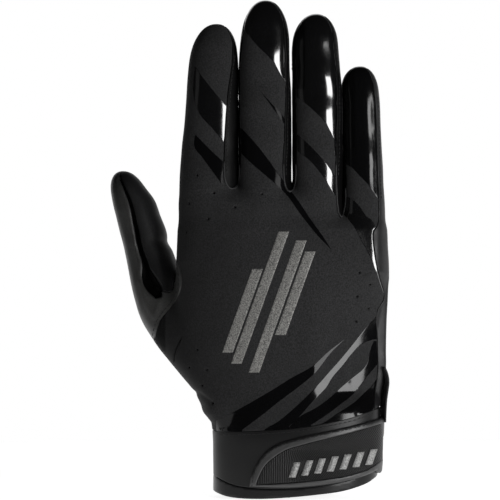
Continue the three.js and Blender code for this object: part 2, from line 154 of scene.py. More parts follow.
# Seams on a finger's back: height, left seam, right seam. The last row leaves the back for the tip.
SEAMS = {
    "index": [(143.0, -50.3, -33.5), (153.1, -50.0, -33.2), (175.8, -48.7, -32.1), (199.4, -45.9, -29.4)],
    "middle": [(142.0, -26.2, -6.2), (166.7, -26.4, -5.5), (194.0, -26.1, -5.0), (207.6, -24.8, -5.8)],
    "ring": [(142.0, -0.6, 17.7), (166.7, -0.8, 18.3), (194.0, -1.1, 17.8), (203.1, -0.6, 16.9)],
    "little": [(131.0, 22.2, 37.5), (148.5, 22.0, 36.9), (171.3, 21.7, 36.5), (179.4, 21.8, 35.8)],
}
TIPS = {"index": (-60, -26.9), "middle": (-26.9, -2.4), "ring": (-2.4, 24), "little": (20.9, 50)}
TIP_RISE = 1.0        # the arch of a fingertip's seam passes this far above the tip
GUSSET_ENDS = [135.4, 134.2, 122.6]
THUMB_SEAM = [(-65.2, 67.8), (-64.1, 72.2), (-63, 75.1), (-59, 80.2), (-55.3, 85.4), (-53.2, 90.4),
              (-53, 96), (-54.3, 101.7), (-56.1, 106.5)]
LEFT_EDGE = [(-110, 20), (-110, 62)] + THUMB_SEAM + [(-58, 114)]
RIGHT_EDGE = [(35.9, 117.9), (34.7, 116.3), (34.5, 112), (34.9, 107.6), (36.3, 99.5), (37.8, 94.4),
              (40.2, 86.9), (39.9, 84.8), (37.3, 80.3), (36.5, 77.4), (36.8, 68.8), (37.1, 57.4),
              (37.1, 51.9), (36.4, 46.4), (35.2, 34.1), (35, 20)]
CUFF_SEAM = [(-120, 26), (-16.2, 25.8), (1.1, 27.2), (14.7, 29.5), (23.8, 31.3), (34.3, 34.5), (120, 48)]
BINDING_LINE = [(-120, 14), (-38, 4.2), (-29, 0.8), (-20, -0.3), (-3.4, -0.3), (10.2, 0.8),
                (23.8, 3.1), (36.1, 7.6), (120, 20)]
HEM_LINE = [(-120, -1), (-40, -2.6), (-37, -3.5), (-33, -4.6), (-27, -5.2), (-18.9, -5.3), (-4, -4.5),
            (10, -3.2), (20, -2.0), (28, -0.1), (33, 1.6), (37.5, 4.2), (120, 11)]
THUMB_VALLEY = [(-82.2, 160), (-82.2, 143.5), (-82.0, 140.9), (-79.7, 135.8), (-77.8, 131.4),
                (-76.4, 127.1), (-75.4, 122.0), (-74.2, 116.0), (-72.6, 107.8), (-70.9, 103.0),
                (-68.8, 97.0), (-66.0, 91.0), (-63.9, 89.2), (-61.0, 88.7), (-58.8, 88.2),
                (-57.3, 89.0), (-56.6, 92.3), (-56.0, 98.4), (-54, 102.4), (-45, 102.4), (-45, 40),
                (-120, 40), (-120, 160)]
THUMB_GROOVE = [(-82.2, 140.7), (-80.1, 135.4), (-78.3, 130.8), (-77.3, 127.1), (-76.4, 121.5),
                (-75.4, 116.0), (-73.9, 107.8), (-72.0, 101.6), (-71.9, 94.5), (-69.6, 89.3),
                (-65.2, 85.6), (-62.6, 86.4), (-62.4, 90.1), (-65.1, 94.9), (-67.9, 98.9),
                (-69.8, 103.9), (-71.3, 107.8), (-73.1, 116.0), (-74.6, 122.4), (-75.6, 127.1),
                (-77.3, 132.1), (-79.4, 136.3), (-81.5, 140.9)]
THUMB_AREA = [(-120, 160), (-56.1, 160)] + THUMB_SEAM[::-1] + [(-72, 62), (-120, 62)]

# The deep valley along the thumb
GROOVE_DEPTH = 2.0
GROOVE_RISE = 1.5             # it is this much shallower at the tip
GROOVE_RISE_Z = (116, 14)
GROOVE_WALL = (0.9, 2.2)      # its wall starts this far outside the outline and is this wide
GROOVE_REACH = 6.0
GROOVE_Y = 18                 # it ends at this depth, on the side of the thumb
GROOVE_Y_FADE = 4
BAND_DROP = 1.4               # the leather band turns down into the valley by this much
BAND_EDGE = 1.6
BAND_WIDTH = 5
BAND_SPAN = (84, 8, 146, 10)
BAND_LINE = THUMB_VALLEY[2:13]     # the band's edge along the valley

# A crease at the thumb's root, whose dark opening is cut out of the knit
CREASE = [(-52.6, 68.4), (-54.5, 64.7), (-55.8, 61.8), (-56.6, 56.1)]
CREASE_DEPTH = 0.45
CREASE_WIDTH = 0.4
CREASE_EDGE = 0.5             # behind it the cloth is level again from this distance
CREASE_STEP = 0.4             # and rises over this one
CREASE_SLOPE = 1.5            # in front of it the cloth falls to it over about this distance
CREASE_REACH = 4              # and is level at this many times that distance
CREASE_FADE = 2.5
CREASE_BLUNTNESS = 0.15       # how blunt the ends of its opening are, as an angle

# Folds that the hand leaves in the cloth: the line, how far it stands out and its half width
FOLDS = [([(-52, 42.2), (-45, 41.9), (-39, 38)], -0.6, 1.3),
         ([(-47, 33.8), (-40, 33.4)], 0.7, 2.2), ([(-47, 29.6), (-39, 28.2)], -0.4, 1.2),
         ([(27.5, 33.5), (33.5, 37.5)], -0.3, 1.8),
         ([(-71.7, 91.9), (-69.5, 83.1), (-65.8, 76.9), (-63.6, 83.1)], 0.35, 1.3)]
FOLD_REACH = 3                # a fold ends at this many half widths from its line
FOLD_WRAP_X = -34             # folds on the thumb side of this go on round to the palm

# A soft ripple over the wrist: where it falls, its length and height, its span as an angle of the
# wave, and its span in height
RIPPLE = (11.6, 16.3, 0.25)
RIPPLE_ANGLES = (-2.6, 1.0, 5.2, 1.2)
RIPPLE_SPAN = (44, 5, 61, 8)

# The fuller side below the little finger: x, spread, height and edge
SIDE_RIDGE = (36, 4, 0.6, 41)
SIDE_RIDGE_SPAN = (90, 10, 124, 8)

# Bulges along a finger: a height that faces down, the distance from one to the next, their size.
# The third number of their span is a distance below the fingertip.
BULGES = {"index": (165, 38, 0.45), "middle": (191, 20, 0.3), "ring": (184, 18.5, 0.32),
          "little": (168, 22, 0.12)}
BULGE_SPAN = (126, 10, 5, 8)

# The flatter side of the little finger: place, half width and depth
FACET = (0.57, 1.4, 0.22)
FACET_SPAN = (120, 10, 10, 8)

# Long, low waves over all cloth: height, change of phase along x, y and z, and phase
WAVES = [(0.05, (0.21, 0.05, 0.13), 0.4), (0.05, (-0.13, 0.1, 0.24), 2.1),
         (0.04, (0.31, -0.2, -0.19), 4.0), (0.03, (0.05, 0.3, 0.42), 1.2),
         (0.03, (-0.44, 0.1, 0.12), 5.1)]

# The seams get flatter from this far below a fingertip, and round the thumb's root
SEAM_FADES = {"index": 12, "middle": 12, "ring": 11, "little": 9}
SEAM_FADE = 4
SEAM_MARGIN = 1       # a fade reaches this far beside its finger
TIP_SEAM = 0.25       # what is left of a seam's depth there
THUMB_ROOT_X = -51
THUMB_ROOT_Z = (60, 112)

# The lower end of the thumb's inner panel, where its seam is deep. The thumb's other seams have only
# a small share of a seam's depth.
INNER_END_X = -62.5
INNER_END_Z = (86, 91)
INNER_END_SEAM = 0.8
THUMB_SEAM_SHARE = 0.1
THUMB_CLEAR = 0.2     # towards the viewer the thumb's panels end this far from their seams

# The gussets between the fingers, and the range of x of each. The first one takes in the side of
# the thumb's root too.
GUSSETS = [("gusset_left", "fourchette_index_middle", -math.inf, -18),
           ("gusset_middle", "fourchette_middle_ring", -12, 12),
           ("gusset_right", "fourchette_ring_little", 12, math.inf)]

# Outlines of the gloss films. Where one runs past a seam it is trimmed there.
FILMS = {
    "index_upper": [(-47.0, 191.8), (-42.1, 185.1), (-37.1, 178.8), (-32.4, 173.0), (-32.7, 164.9),
                    (-33.7, 157.2), (-38.9, 163.3), (-44.5, 169.7), (-46.5, 174.9), (-47.4, 181.3)],
    "index_lower": [(-46.6, 160.3), (-40.3, 153.9), (-34.0, 148.1), (-34.1, 142.6), (-34.4, 137.4),
                    (-39.1, 144.0), (-44.1, 150.8), (-46.9, 154.2), (-47.3, 157.2)],
    "middle_tip": [(-28.0, 211.3), (-23.6, 207.5), (-21.8, 205.4), (-17.5, 200.4), (-13.2, 196.1),
                   (-10.3, 192.9), (-7.5, 188.2), (-5.2, 184.6), (-3.6, 181), (4, 181), (4, 240), (-30, 240)],
    "middle_slit": [(-16.6, 179.9), (-11.2, 173.8), (-7.5, 169.9), (-5.0, 166.9), (-4.7, 163.3),
                    (-7.5, 167.4), (-11.2, 172.4)],
    "middle_sweep": [(-28, 165.8), (-25.4, 163.1), (-19.7, 157.0), (-13.2, 148.7), (-7.5, 140.8),
                     (-2.5, 134.0), (1.1, 129.0), (6.6, 120.8), (11.1, 114.5), (15.6, 107.6),
                     (9.3, 114.0), (4.7, 119.7), (-0.3, 126.3), (-3.9, 131.5), (-10.3, 138.0),
                     (-16.1, 143.0), (-21.8, 148.0), (-24.7, 151.0), (-28, 154.4)],
    "ring_tip": [(-5, 180.8), (-0.3, 177.6), (2.9, 175.4), (6.6, 172.2), (10.7, 168.1),
                 (14.7, 163.1), (17.5, 157.2), (19, 153.5), (27, 153.5), (27, 240), (-5, 240)],
    "ring_band": [(-3, 162.4), (0.8, 159.8), (7, 154), (11.1, 149.5), (17.3, 141.2), (21, 136),
                  (21, 127), (17.3, 132.3), (12.9, 139.5), (5.6, 148.5), (0.8, 152.6), (-3, 156)],
    "little_tip": [(17, 150.6), (22.4, 147.1), (25.6, 144.9), (28.8, 141.3), (32, 138.1),
                   (34.7, 134.5), (37.5, 130.4), (41, 124.5), (48, 124.5), (48, 240), (17, 240)],
    "little_sweep": [(19.7, 134.5), (22.0, 132.6), (24.7, 131.0), (27.3, 128.8), (29.4, 126.3),
                     (31.6, 122.9), (33.7, 121.6), (35.6, 118.2), (34.5, 116.3), (34.3, 113.5),
                     (34.3, 110.6), (34.6, 107.6), (35.1, 103.8), (36.0, 99.6), (37.5, 94.5),
                     (39.9, 87.0), (37.5, 93.3), (35.6, 98.3), (33.7, 103.0), (31.6, 107.6),
                     (29.4, 111.4), (27.3, 115.7), (26.1, 117.8), (22.2, 122.9), (19.7, 125.8)],
    "wrist_1": [(21.5, 66.9), (14.2, 61.4), (6.7, 54.8), (-2.6, 49.6), (-11.9, 43.8), (-19.4, 39.4),
                (-27.5, 34.8), (-32.8, 31.9), (-36.8, 30.1), (-36.8, 22), (-25.2, 22), (-25.2, 25.9),
                (-21.2, 29), (-15.4, 33.3), (-9.6, 38), (-3.8, 42.3), (2, 46.7), (6.7, 50.6),
                (11.3, 55.9), (14.2, 59.7)],
    "wrist_2": [(36.8, 78), (32.8, 73.6), (29.3, 69.4), (23.5, 62.3), (18.6, 56.5), (13.6, 51),
                (9.3, 46.4), (2, 39.1), (-3.8, 33.9), (-9.6, 29.3), (-14.8, 26.3), (-17.7, 22),
                (-4.9, 22), (-3.8, 27.8), (0.9, 32.2), (5.5, 37.4), (9.3, 41.4), (12.8, 44.9),
                (15.9, 49.6), (20.6, 55.1), (26.1, 61.7), (28.4, 63.9), (34.8, 66.5), (41.5, 66.5),
                (41.5, 78)],
    "wrist_3": [(35.1, 65.8), (33.3, 61.7), (31.6, 54.8), (30.4, 53.3), (26.4, 50.1), (22.3, 46.9),
                (18.3, 43.5), (14.2, 40), (9.6, 36.8), (5.5, 34.5), (1.5, 32.5), (-2.9, 28.4),
                (-7.2, 22), (4.9, 22), (6.1, 28.4), (10.7, 31.3), (15.9, 34.8), (20, 37.8),
                (24.1, 40.6), (27.5, 44), (30.1, 47.2), (32.8, 50.7), (35.7, 53.9), (38.6, 57.4),
                (41.5, 60.6), (41.5, 65.8)],
    "wrist_4": [(41.5, 53.6), (36.8, 49), (33.6, 44.9), (30.4, 42), (26.4, 38.5), (22.3, 35.9),
                (18.3, 33.6), (13.6, 30.4), (10.1, 28.4), (8.4, 22), (41.5, 22)],
}
BARS = [(-25, 80, 38), (-17, 86, 60), (-9, 82, 60), (-1, 88, 38)]   # x, z, height
BAR_WIDTH = 4.8
BAR_SLANT = 0.36

# Vent pricks in the knit, where the photograph has them, and what one of its pixels measures. The
# back of the hand is nearer to the camera than the origin and looks larger, so its places are
# brought in towards the middle of the photograph.
VENT_PIXELS = [(197, 175), (214, 193), (262, 194), (189, 203), (235, 207), (208, 219), (186, 232),
               (360, 273), (371, 285), (358, 297), (370, 309), (357, 322), (197, 350), (189, 368),
               (207, 370), (202, 386), (212, 404)]
PIXEL_SIZE = 0.46
PHOTO_MIDDLE = 250
PHOTO_ORIGIN = (297, 484)
BACK_SCALE = 0.988
VENT_RADIUS = 0.34
VENT_SIDES = 10
VENT_OPEN = 0.93      # triangles with their middle within this share of the radius are left out

STRAP_FACE_OUTLINE = [(-21.6, 0.4), (-20.7, 5.4), (-18.4, 10.8), (-14.8, 15.8), (-8.9, 19.9),
                      (-3.4, 21.7), (10.2, 24.9), (23.8, 27.7), (33.8, 29.9), (48, 32.2),
                      (48, 10.8), (40, 9.6), (38.8, 6.4), (36.6, 5.3), (34.9, 6.9), (31.1, 5.4),
                      (23.8, 3.4), (10.2, 1.3), (-3.4, 0.2)]
STRAP_END_OUTLINE = [(20, 12), (48, 11.8), (48, 32.2), (20, 30)]
INSERT_OUTLINE = [(-18.6, 1.3), (-17.9, 3.4), (-17.1, 5.4), (-14.3, 10.4), (-10.3, 14.0), (-5.7, 17.0),
                  (1.1, 19.2), (10.2, 21.5), (23.8, 24.7), (36.6, 28.2), (37.9, 19.0), (37.2, 11.7),
                  (30.6, 7.8), (23.8, 5.7), (12.5, 3.9), (1.1, 2.8), (-10.3, 1.9)]
STRAP_TURN_X = 20     # the strap goes round the wrist beyond this

# Seams on the wrist: the share of their depth that is left where they are almost flush, which the
# band's are below BINDING_Z, and how far the hem and the strap roll in and over what width
FLUSH = 0.3
BINDING_Z = 14
HEM_FACE = 0.05
HEM_ROLL = (0.45, 0.7)
HEM_SEAM = 1.5        # the hem is almost flush up to this far from its seam
STRAP_ROLL = (0.8, 1.3)

# The welt round the strap's insert, and the insert let in below it
WELT_WALL = (0.5, 0.9)        # its wall starts this far outside the insert and is this wide
WELT_Y = 2            # it ends at this depth, where the strap goes round
INSERT_FACE = STRAP_FACE - WELT + 0.4
INSERT_WALL = 0.32
INSERT_ROLL = (0.15, 0.3)
INSERT_CLEAR = 0.05
RIB = 1.0             # from one rib of the insert to the next

# Plain slanting marks on the insert, in a row that climbs a little
MARK_COUNT = 7
MARK_PITCH = 5.6
MARK_START = (-1.4, 8.2)
MARK_RISE = 0.155
MARK_SIZE = (3.0, 6.8)
MARK_SLANT = 0.35
MARK_FACE = STRAP_FACE - WELT + 0.62
MARK_WALL = 0.2
MARK_ROWS = 7         # points along its height, so that it follows the strap

# The pull loop: a tape turned a little towards the viewer
LOOP_LINE = [(39.2, 53.6), (40.4, 50.8), (41.0, 47.2), (40.6, 43.4), (40.0, 39), (39.7, 34.5),
             (39.5, 28.6)]
LOOP_SIZE = (9.6, 1.1)
LOOP_SIDES = 20
LOOP_TURN = 13.0      # degrees

# A cord round the end of each finger gusset
CORD = 0.9
CORD_LIFT = CORD * 0.1
CORD_SIDES = 8
CORD_TAIL = 5         # it runs up both sides by this much

# Stitches: thread, distance from one to the next, part of it that the thread spans, and how the
# thread rises over the cloth at five places of its length
THREAD_SIZE = (0.34, 0.3)
THREAD_SIDES = 6
STITCH_PITCH = 2.2
FINE_PITCH = 1.9
STITCH_LIFT = 0.04
STITCH_SHARE = 0.68
STITCH_PLACES = (0, 0.12, 0.5, 0.88, 1)
STITCH_RISE = (-0.12, 0.05, 0.1, 0.05, -0.12)
SHORTEST_STITCH = 0.3
LONGEST_STITCH = 1.5          # in distances from one to the next

# Distance of the stitches from a seam, to the left of the seam's direction where positive
CUFF_STITCHES = -1.5
CUFF_STITCHES_X = 37  # they end at the sides of the wrist
THUMB_STITCHES = 1.3
THUMB_STITCH_LINE = THUMB_SEAM[:8]
FINGER_STITCHES = 1.1
STRAP_STITCHES = -1.3
STRAP_STITCH_LINE = STRAP_FACE_OUTLINE[:9]
STRAP_STITCH_FACE = STRAP_FACE - 0.02

# Threads and cords are laid on the cloth from the viewer's side, between these depths
VIEWER_Y = -34
INNER_Y = 4


def smoothstep(value):
    t = np.clip(value, 0, 1)
    return t * t * (3 - 2 * t)


def window(value, start, rise, end, fall):
    """1 in the middle of a span and 0 outside it, with soft ends."""
    return smoothstep((value - start) / rise) * smoothstep((end - value) / fall)


def hermite(t, run, start, start_slope, end, end_slope):
    """The smooth curve between two values with known slopes, at the share t of the way."""
    return (
        (2 * t**3 - 3 * t**2 + 1) * start
        + (t**3 - 2 * t**2 + t) * run * start_slope
        + (3 * t**2 - 2 * t**3) * end
        + (t**3 - t**2) * run * end_slope
    )


def unit(v):
    return v / np.maximum(np.linalg.norm(v, axis=1), 1e-9)[:, None]


def flat(p):
    return p[:, [0, 2]]


def depth_of(p):
    return p[:, 1]


class Limb:
    """A tube through a table of sections, as a distance field."""

    def __init__(self, rows, top, tip, bottom, power):
        table = np.array(sorted(rows), float)
        self.heights = table[:, 0]
        self.values = table[:, 1:]
        self.slopes = np.gradient(self.values, self.heights, axis=0)
        self.top = top
        self.tip = tip
        self.bottom = bottom
        self.power = power

    def edges(self, z):
        """Left, right, back and palm edge at each height, on a smooth curve through the rows."""
        i = np.clip(np.searchsorted(self.heights, z) - 1, 0, len(self.heights) - 2)
        span = self.heights[i + 1] - self.heights[i]
        u = (z - self.heights[i]) / span
        t = np.clip(u, 0, 1)[:, None]
        ends = self.values[i], self.slopes[i], self.values[i + 1], self.slopes[i + 1]
        beyond = ((u - t[:, 0]) * span)[:, None]
        slope = np.where(beyond > 0, ends[3], ends[1])
        return (hermite(t, span[:, None], *ends) + beyond * slope).T

    def distance(self, p):
        left, right, back, palm = self.edges(p[:, 2])
        half_x = np.maximum(right - left, LEAST_WIDTH) / 2
        half_y = np.maximum(palm - back, LEAST_WIDTH) / 2
        u = np.abs(p[:, 0] - (left + right) / 2) / half_x
        v = np.abs(p[:, 1] - (back + palm) / 2) / half_y
        n = self.power
        across = np.maximum((u**n + v**n) ** (1 / n), 1e-6)
        slope_x = (u / across) ** (n - 1) / half_x
        slope_y = (v / across) ** (n - 1) / half_y
        if self.top is None:
            reach = across
            slope = np.hypot(slope_x, slope_y)
        else:
            m = TIP_POWER
            w = np.maximum(p[:, 2] - self.top + self.tip, 0) / self.tip
            reach = (across**m + w**m) ** (1 / m)
            share = (across / reach) ** (m - 1)
            slope_z = (w / reach) ** (m - 1) / self.tip
            slope = np.sqrt(share**2 * (slope_x**2 + slope_y**2) + slope_z**2)
        return np.maximum((reach - 1) / slope, END_SLOPE * (self.bottom - p[:, 2]))


limbs = {name: Limb(**facts) for name, facts in LIMBS.items()}


def blend(a, b, radius):
    """The nearer of two distances, with a fillet where they meet."""
    share = np.maximum(radius - np.abs(a - b), 0) / radius
    return np.minimum(a, b) - share**2 * radius / 4


def side_fall(p):
    """How far the back falls away below the little finger."""
    x, y, z = p.T
    start, ease_start, ease_end = FALL_X
    run = np.maximum(x - start, 0)
    ease = np.clip(x - ease_start, 0, ease_end - ease_start)
    beyond = np.maximum(x - ease_end, 0)
    steep = FALL_SLOPE * run**2 / (run + FALL_START)
    eased = FALL_EASING * (ease**2 + 2 * (ease_end - ease_start) * beyond)
    return (steep - eased) * window(z, *FALL_SPAN) * smoothstep(-y / FALL_Y)


def hand_field(p):
    fingers = np.min([limbs[name].distance(p) for name in FINGERS], axis=0)
    z = p[:, 2]
    lowered = p - np.outer(side_fall(p), [0, 1, 0])
    body = blend(limbs["palm"].distance(lowered), limbs["knuckles"].distance(p), FILLET)
    start, run = THUMB_FILLET_Z
    thumb_fillet = WRIST_FILLET + (THUMB_FILLET - WRIST_FILLET) * smoothstep((z - start) / run)
    return blend(blend(body, fingers, FILLET), limbs["thumb"].distance(p), thumb_fillet)


def cuff_field(p):
    return limbs["cuff"].distance(p)


def gradient(field, p, reach=0.02):
    steps = np.eye(3) * reach
    return np.stack([field(p + s) - field(p - s) for s in steps], axis=1) / (2 * reach)


def onto(field, p, rounds=6):
    """The points moved onto the surface of a field, and its normals there."""
    p = p.copy()
    for _ in range(rounds):
        slope = gradient(field, p)
        p -= slope * (field(p) / np.maximum((slope**2).sum(1), 0.05))[:, None]
    return p, unit(gradient(field, p))


def surface_net(field, low, high, level):
    """Quads over the surface where the field has that level, on an even grid."""
    axes = [np.arange(a, b + STEP, STEP) for a, b in zip(low, high)]
    shape = tuple(len(a) for a in axes)
    values = np.empty(shape)
    for i, x in enumerate(axes[0]):
        y, z = np.meshgrid(axes[1], axes[2], indexing="ij")
        p = np.stack([np.full(y.size, x), y.ravel(), z.ravel()], axis=1)
        values[i] = (field(p) - level).reshape(y.shape)
    cells = tuple(n - 1 for n in shape)
    total = np.zeros(cells + (3,))
    count = np.zeros(cells)
    crossings = []
    for axis in range(3):
        a = np.take(values, range(shape[axis] - 1), axis)
        b = np.take(values, range(1, shape[axis]), axis)
        cross = (a < 0) != (b < 0)
        share = np.where(cross, a / np.where(cross, a - b, 1), 0)
        others = [k for k in range(3) if k != axis]
        crossings.append((axis, cross, a < 0))
        for corner in ((0, 0), (0, 1), (1, 0), (1, 1)):
            cut = [slice(None)] * 3
            for other, d in zip(others, corner):
                cut[other] = slice(d, d + cells[other])
            here = cross[tuple(cut)]
            count += here
            total[..., axis] += here * share[tuple(cut)]
            for other, d in zip(others, corner):
                total[..., other] += here * d
    used = count > 0
    number = np.full(cells, -1)
    number[used] = np.arange(used.sum())
    corner = np.stack(np.nonzero(used), axis=1)
    points = (corner + total[used] / count[used][:, None]) * STEP + np.array([a[0] for a in axes])
    quads = []
    for axis, cross, inside in crossings:
        ring = [(axis + 1) % 3, (axis + 2) % 3]
        at = np.stack(np.nonzero(cross), axis=1)
        at = at[((at[:, ring] > 0) & (at[:, ring] < np.array(cells)[ring])).all(1)]
        quad = []
        for shift in ((1, 1), (0, 1), (0, 0), (1, 0)):
            q = at.copy()
            q[:, ring] -= shift
            quad.append(number[tuple(q.T)])
        quad = np.stack(quad, axis=1)
        outward = inside[tuple(at.T)]
        quads.append(np.where(outward[:, None], quad, quad[:, ::-1]))
    return points, np.concatenate(quads)


def halves(points, quads):
    """Each quad as two triangles, split along its shorter diagonal."""
    a = np.linalg.norm(points[quads[:, 0]] - points[quads[:, 2]], axis=1)
    b = np.linalg.norm(points[quads[:, 1]] - points[quads[:, 3]], axis=1)
    short = (a < b)[:, None]
    one = np.where(short, quads[:, [0, 1, 2]], quads[:, [0, 1, 3]])
    two = np.where(short, quads[:, [0, 2, 3]], quads[:, [1, 2, 3]])
    return np.concatenate([one, two])


def front(px, py):
    """A pixel of the photograph as [x, z] on the back of the hand."""
    x = (px - PHOTO_MIDDLE) * BACK_SCALE + PHOTO_MIDDLE - PHOTO_ORIGIN[0]
    z = PHOTO_ORIGIN[1] - PHOTO_MIDDLE - (py - PHOTO_MIDDLE) * BACK_SCALE
    return np.array([x, z]) * PIXEL_SIZE


def curve(points, step=2.5, closed=True, corner_deg=50):
    """A smooth line through the points, which keeps the corners sharper than corner_deg."""
    p = np.array(points, float)
    count = len(p)

    def at(i):
        return p[i % count] if closed else p[min(max(i, 0), count - 1)]

    def is_corner(i):
        if not closed and (i <= 0 or i >= count - 1):
            return True
        a = at(i) - at(i - 1)
        b = at(i + 1) - at(i)
        turn = abs(math.atan2(a[0] * b[1] - a[1] * b[0], a @ b))
        return turn > math.radians(corner_deg)

    line = []
    for i in range(count if closed else count - 1):
        start, end = at(i), at(i + 1)
        run = np.linalg.norm(end - start)
        chord = (end - start) / run
        tangents = []
        for j, outer in ((i, at(i - 1)), (i + 1, at(i + 2))):
            here = at(j)
            other = np.linalg.norm(outer - here)
            if is_corner(j) or other == 0:
                tangents.append(chord)
                continue
            side = (here - outer) / other if j == i else (outer - here) / other
            tangents.append((side * run + chord * other) / (run + other))
        pieces = max(1, round(run / step))
        line += [hermite(k / pieces, run, start, tangents[0], end, tangents[1])
                 for k in range(pieces)]
    if not closed:
        line.append(p[-1])
    return np.array(line)


def within(outline, p):
    """Whether each [x, z] lies inside the closed outline."""
    inside = np.zeros(len(p), bool)
    near = np.nonzero(((p >= outline.min(0)) & (p <= outline.max(0))).all(1))[0]
    x, z = p[near].T
    hit = np.zeros(len(near), bool)
    for (x0, z0), (x1, z1) in zip(outline, np.roll(outline, -1, axis=0)):
        if z0 != z1:
            hit ^= ((z0 > z) != (z1 > z)) & (x < (x1 - x0) * (z - z0) / (z1 - z0) + x0)
    inside[near] = hit
    return inside


def away(line, p, closed=True, limit=3.0, batch=8):
    """Distance of each [x, z] from the line, up to the limit."""
    ends = np.roll(line, -1, axis=0) if closed else line[1:]
    starts = line if closed else line[:-1]
    found = np.full(len(p), limit)
    for i in range(0, len(starts), batch):
        a, b = starts[i : i + batch], ends[i : i + batch]
        low = np.minimum(a, b).min(0) - limit
        high = np.maximum(a, b).max(0) + limit
        near = np.nonzero(((p > low) & (p < high)).all(1))[0]
        if not len(near):
            continue
        q = p[near][:, None]
        run = b - a
        t = np.clip(((q - a) * run).sum(2) / np.maximum((run**2).sum(1), 1e-12), 0, 1)
        gap = np.linalg.norm(q - a - t[..., None] * run, axis=2).min(1)
        found[near] = np.minimum(found[near], gap)
    return found


def gap_to(line, closed=True):
    """A function that gives the distance of points from a line, seen from the front."""
    return lambda p: away(line, flat(p), closed)


class Skin:
    """A surface of triangles that can be cut along lines, while its points stay on a field."""

    def __init__(self, field, low, high, level=0.0):
        points, quads = surface_net(field, low, high, level)
        self.faces = halves(points, quads)
        self.field = field
        self.points, self.normals = onto(field, points)
        self.fixed = np.zeros(len(points), bool)

    def add(self, fresh):
        self.points = np.vstack([self.points, fresh])
        self.normals = np.vstack([self.normals, np.tile([0.0, -1.0, 0.0], (len(fresh), 1))])
        self.fixed = np.concatenate([self.fixed, np.ones(len(fresh), bool)])

    def cut(self, line, closed=True, most_y=math.inf, snap=SNAP, batch=10):
        """Makes edges along a line of the X-Z view, on the part with y under most_y."""
        stops = len(line) if closed else len(line) - 1
        for i in range(0, stops, batch):
            run = np.array([line[k % len(line)] for k in range(i, min(i + batch, stops) + 1)])
            self.cut_run(run, most_y, snap)

    def cut_run(self, run, most_y, snap, margin=2.5):
        seen = flat(self.points)
        near = ((seen > run.min(0) - margin) & (seen < run.max(0) + margin)).all(1)
        near &= self.points[:, 1] < most_y + margin
        chosen = near[self.faces].any(1)
        if not chosen.any():
            return
        patch = Patch(self, self.faces[chosen], most_y, snap)
        for q in run:
            patch.put_point(q)
        for start, end in zip(run[:-1], run[1:]):
            patch.split(start, end)
        for i in patch.moved:
            self.points[i] = patch.at[i]
            self.fixed[i] = True
        fresh = [patch.at[i] for i in range(len(self.points), patch.count)]
        if fresh:
            self.add(fresh)
        self.faces = np.vstack([self.faces[~chosen], np.array(patch.faces, int)])

    def cut_level(self, value, level, where=None, least_change=0.3):
        """Makes edges where a function of the points has that level."""
        faces = self.faces if where is None else self.faces[where]
        others = self.faces[:0] if where is None else self.faces[~where]
        used = np.unique(faces)
        rest = np.full(len(self.points), 1e3)
        rest[used] = value(self.points[used]) - level
        near = used[(np.abs(rest[used]) < LEVEL_SNAP) & ~self.fixed[used]]
        if len(near):
            slope = gradient(value, self.points[near])
            normal = self.normals[near]
            slope -= normal * (slope * normal).sum(1)[:, None]
            size = (slope**2).sum(1)
            good = size > least_change
            near = near[good]
            self.points[near] -= slope[good] * (rest[near] / size[good])[:, None]
            rest[near] = 0
        sign = np.where(np.abs(rest) < 1e-6, 0, np.sign(rest))
        around = np.stack([faces, np.roll(faces, -1, axis=1)], axis=2)
        crossed = sign[around[..., 0]] * sign[around[..., 1]] < 0
        pairs = np.sort(around[crossed], axis=1)
        if not len(pairs):
            return
        unique, number = np.unique(pairs, axis=0, return_inverse=True)
        a, b = unique.T
        share = rest[a] / (rest[a] - rest[b])
        middle = np.full(faces.shape, -1)
        middle[crossed] = number.ravel() + len(self.points)
        self.add(self.points[a] + share[:, None] * (self.points[b] - self.points[a]))
        count = crossed.sum(1)
        parts = [others, faces[count == 0]]
        for cuts, first in ((1, crossed), (2, ~crossed)):
            some = np.nonzero(count == cuts)[0]
            turn = first[some].argmax(1)
            p, q, r = (faces[some, (turn + k) % 3] for k in range(3))
            m, n, o = (middle[some, (turn + k) % 3] for k in range(3))
            triangles = [(p, m, r), (m, q, r)] if cuts == 1 else [(p, q, n), (p, n, o), (o, n, r)]
            parts += [np.stack(t, 1) for t in triangles]
        self.faces = np.vstack(parts)

    def settle(self):
        """Puts the new points on the surface too and works out every normal."""
        self.points, self.normals = onto(self.field, self.points, rounds=2)

    def middles(self):
        return self.points[self.faces].mean(1)

    def chosen(self, outline, most_y=math.inf):
        """Which triangles lie in an outline, on the part with y under most_y."""
        middles = self.middles()
        return within(outline, flat(middles)) & (middles[:, 1] < most_y)


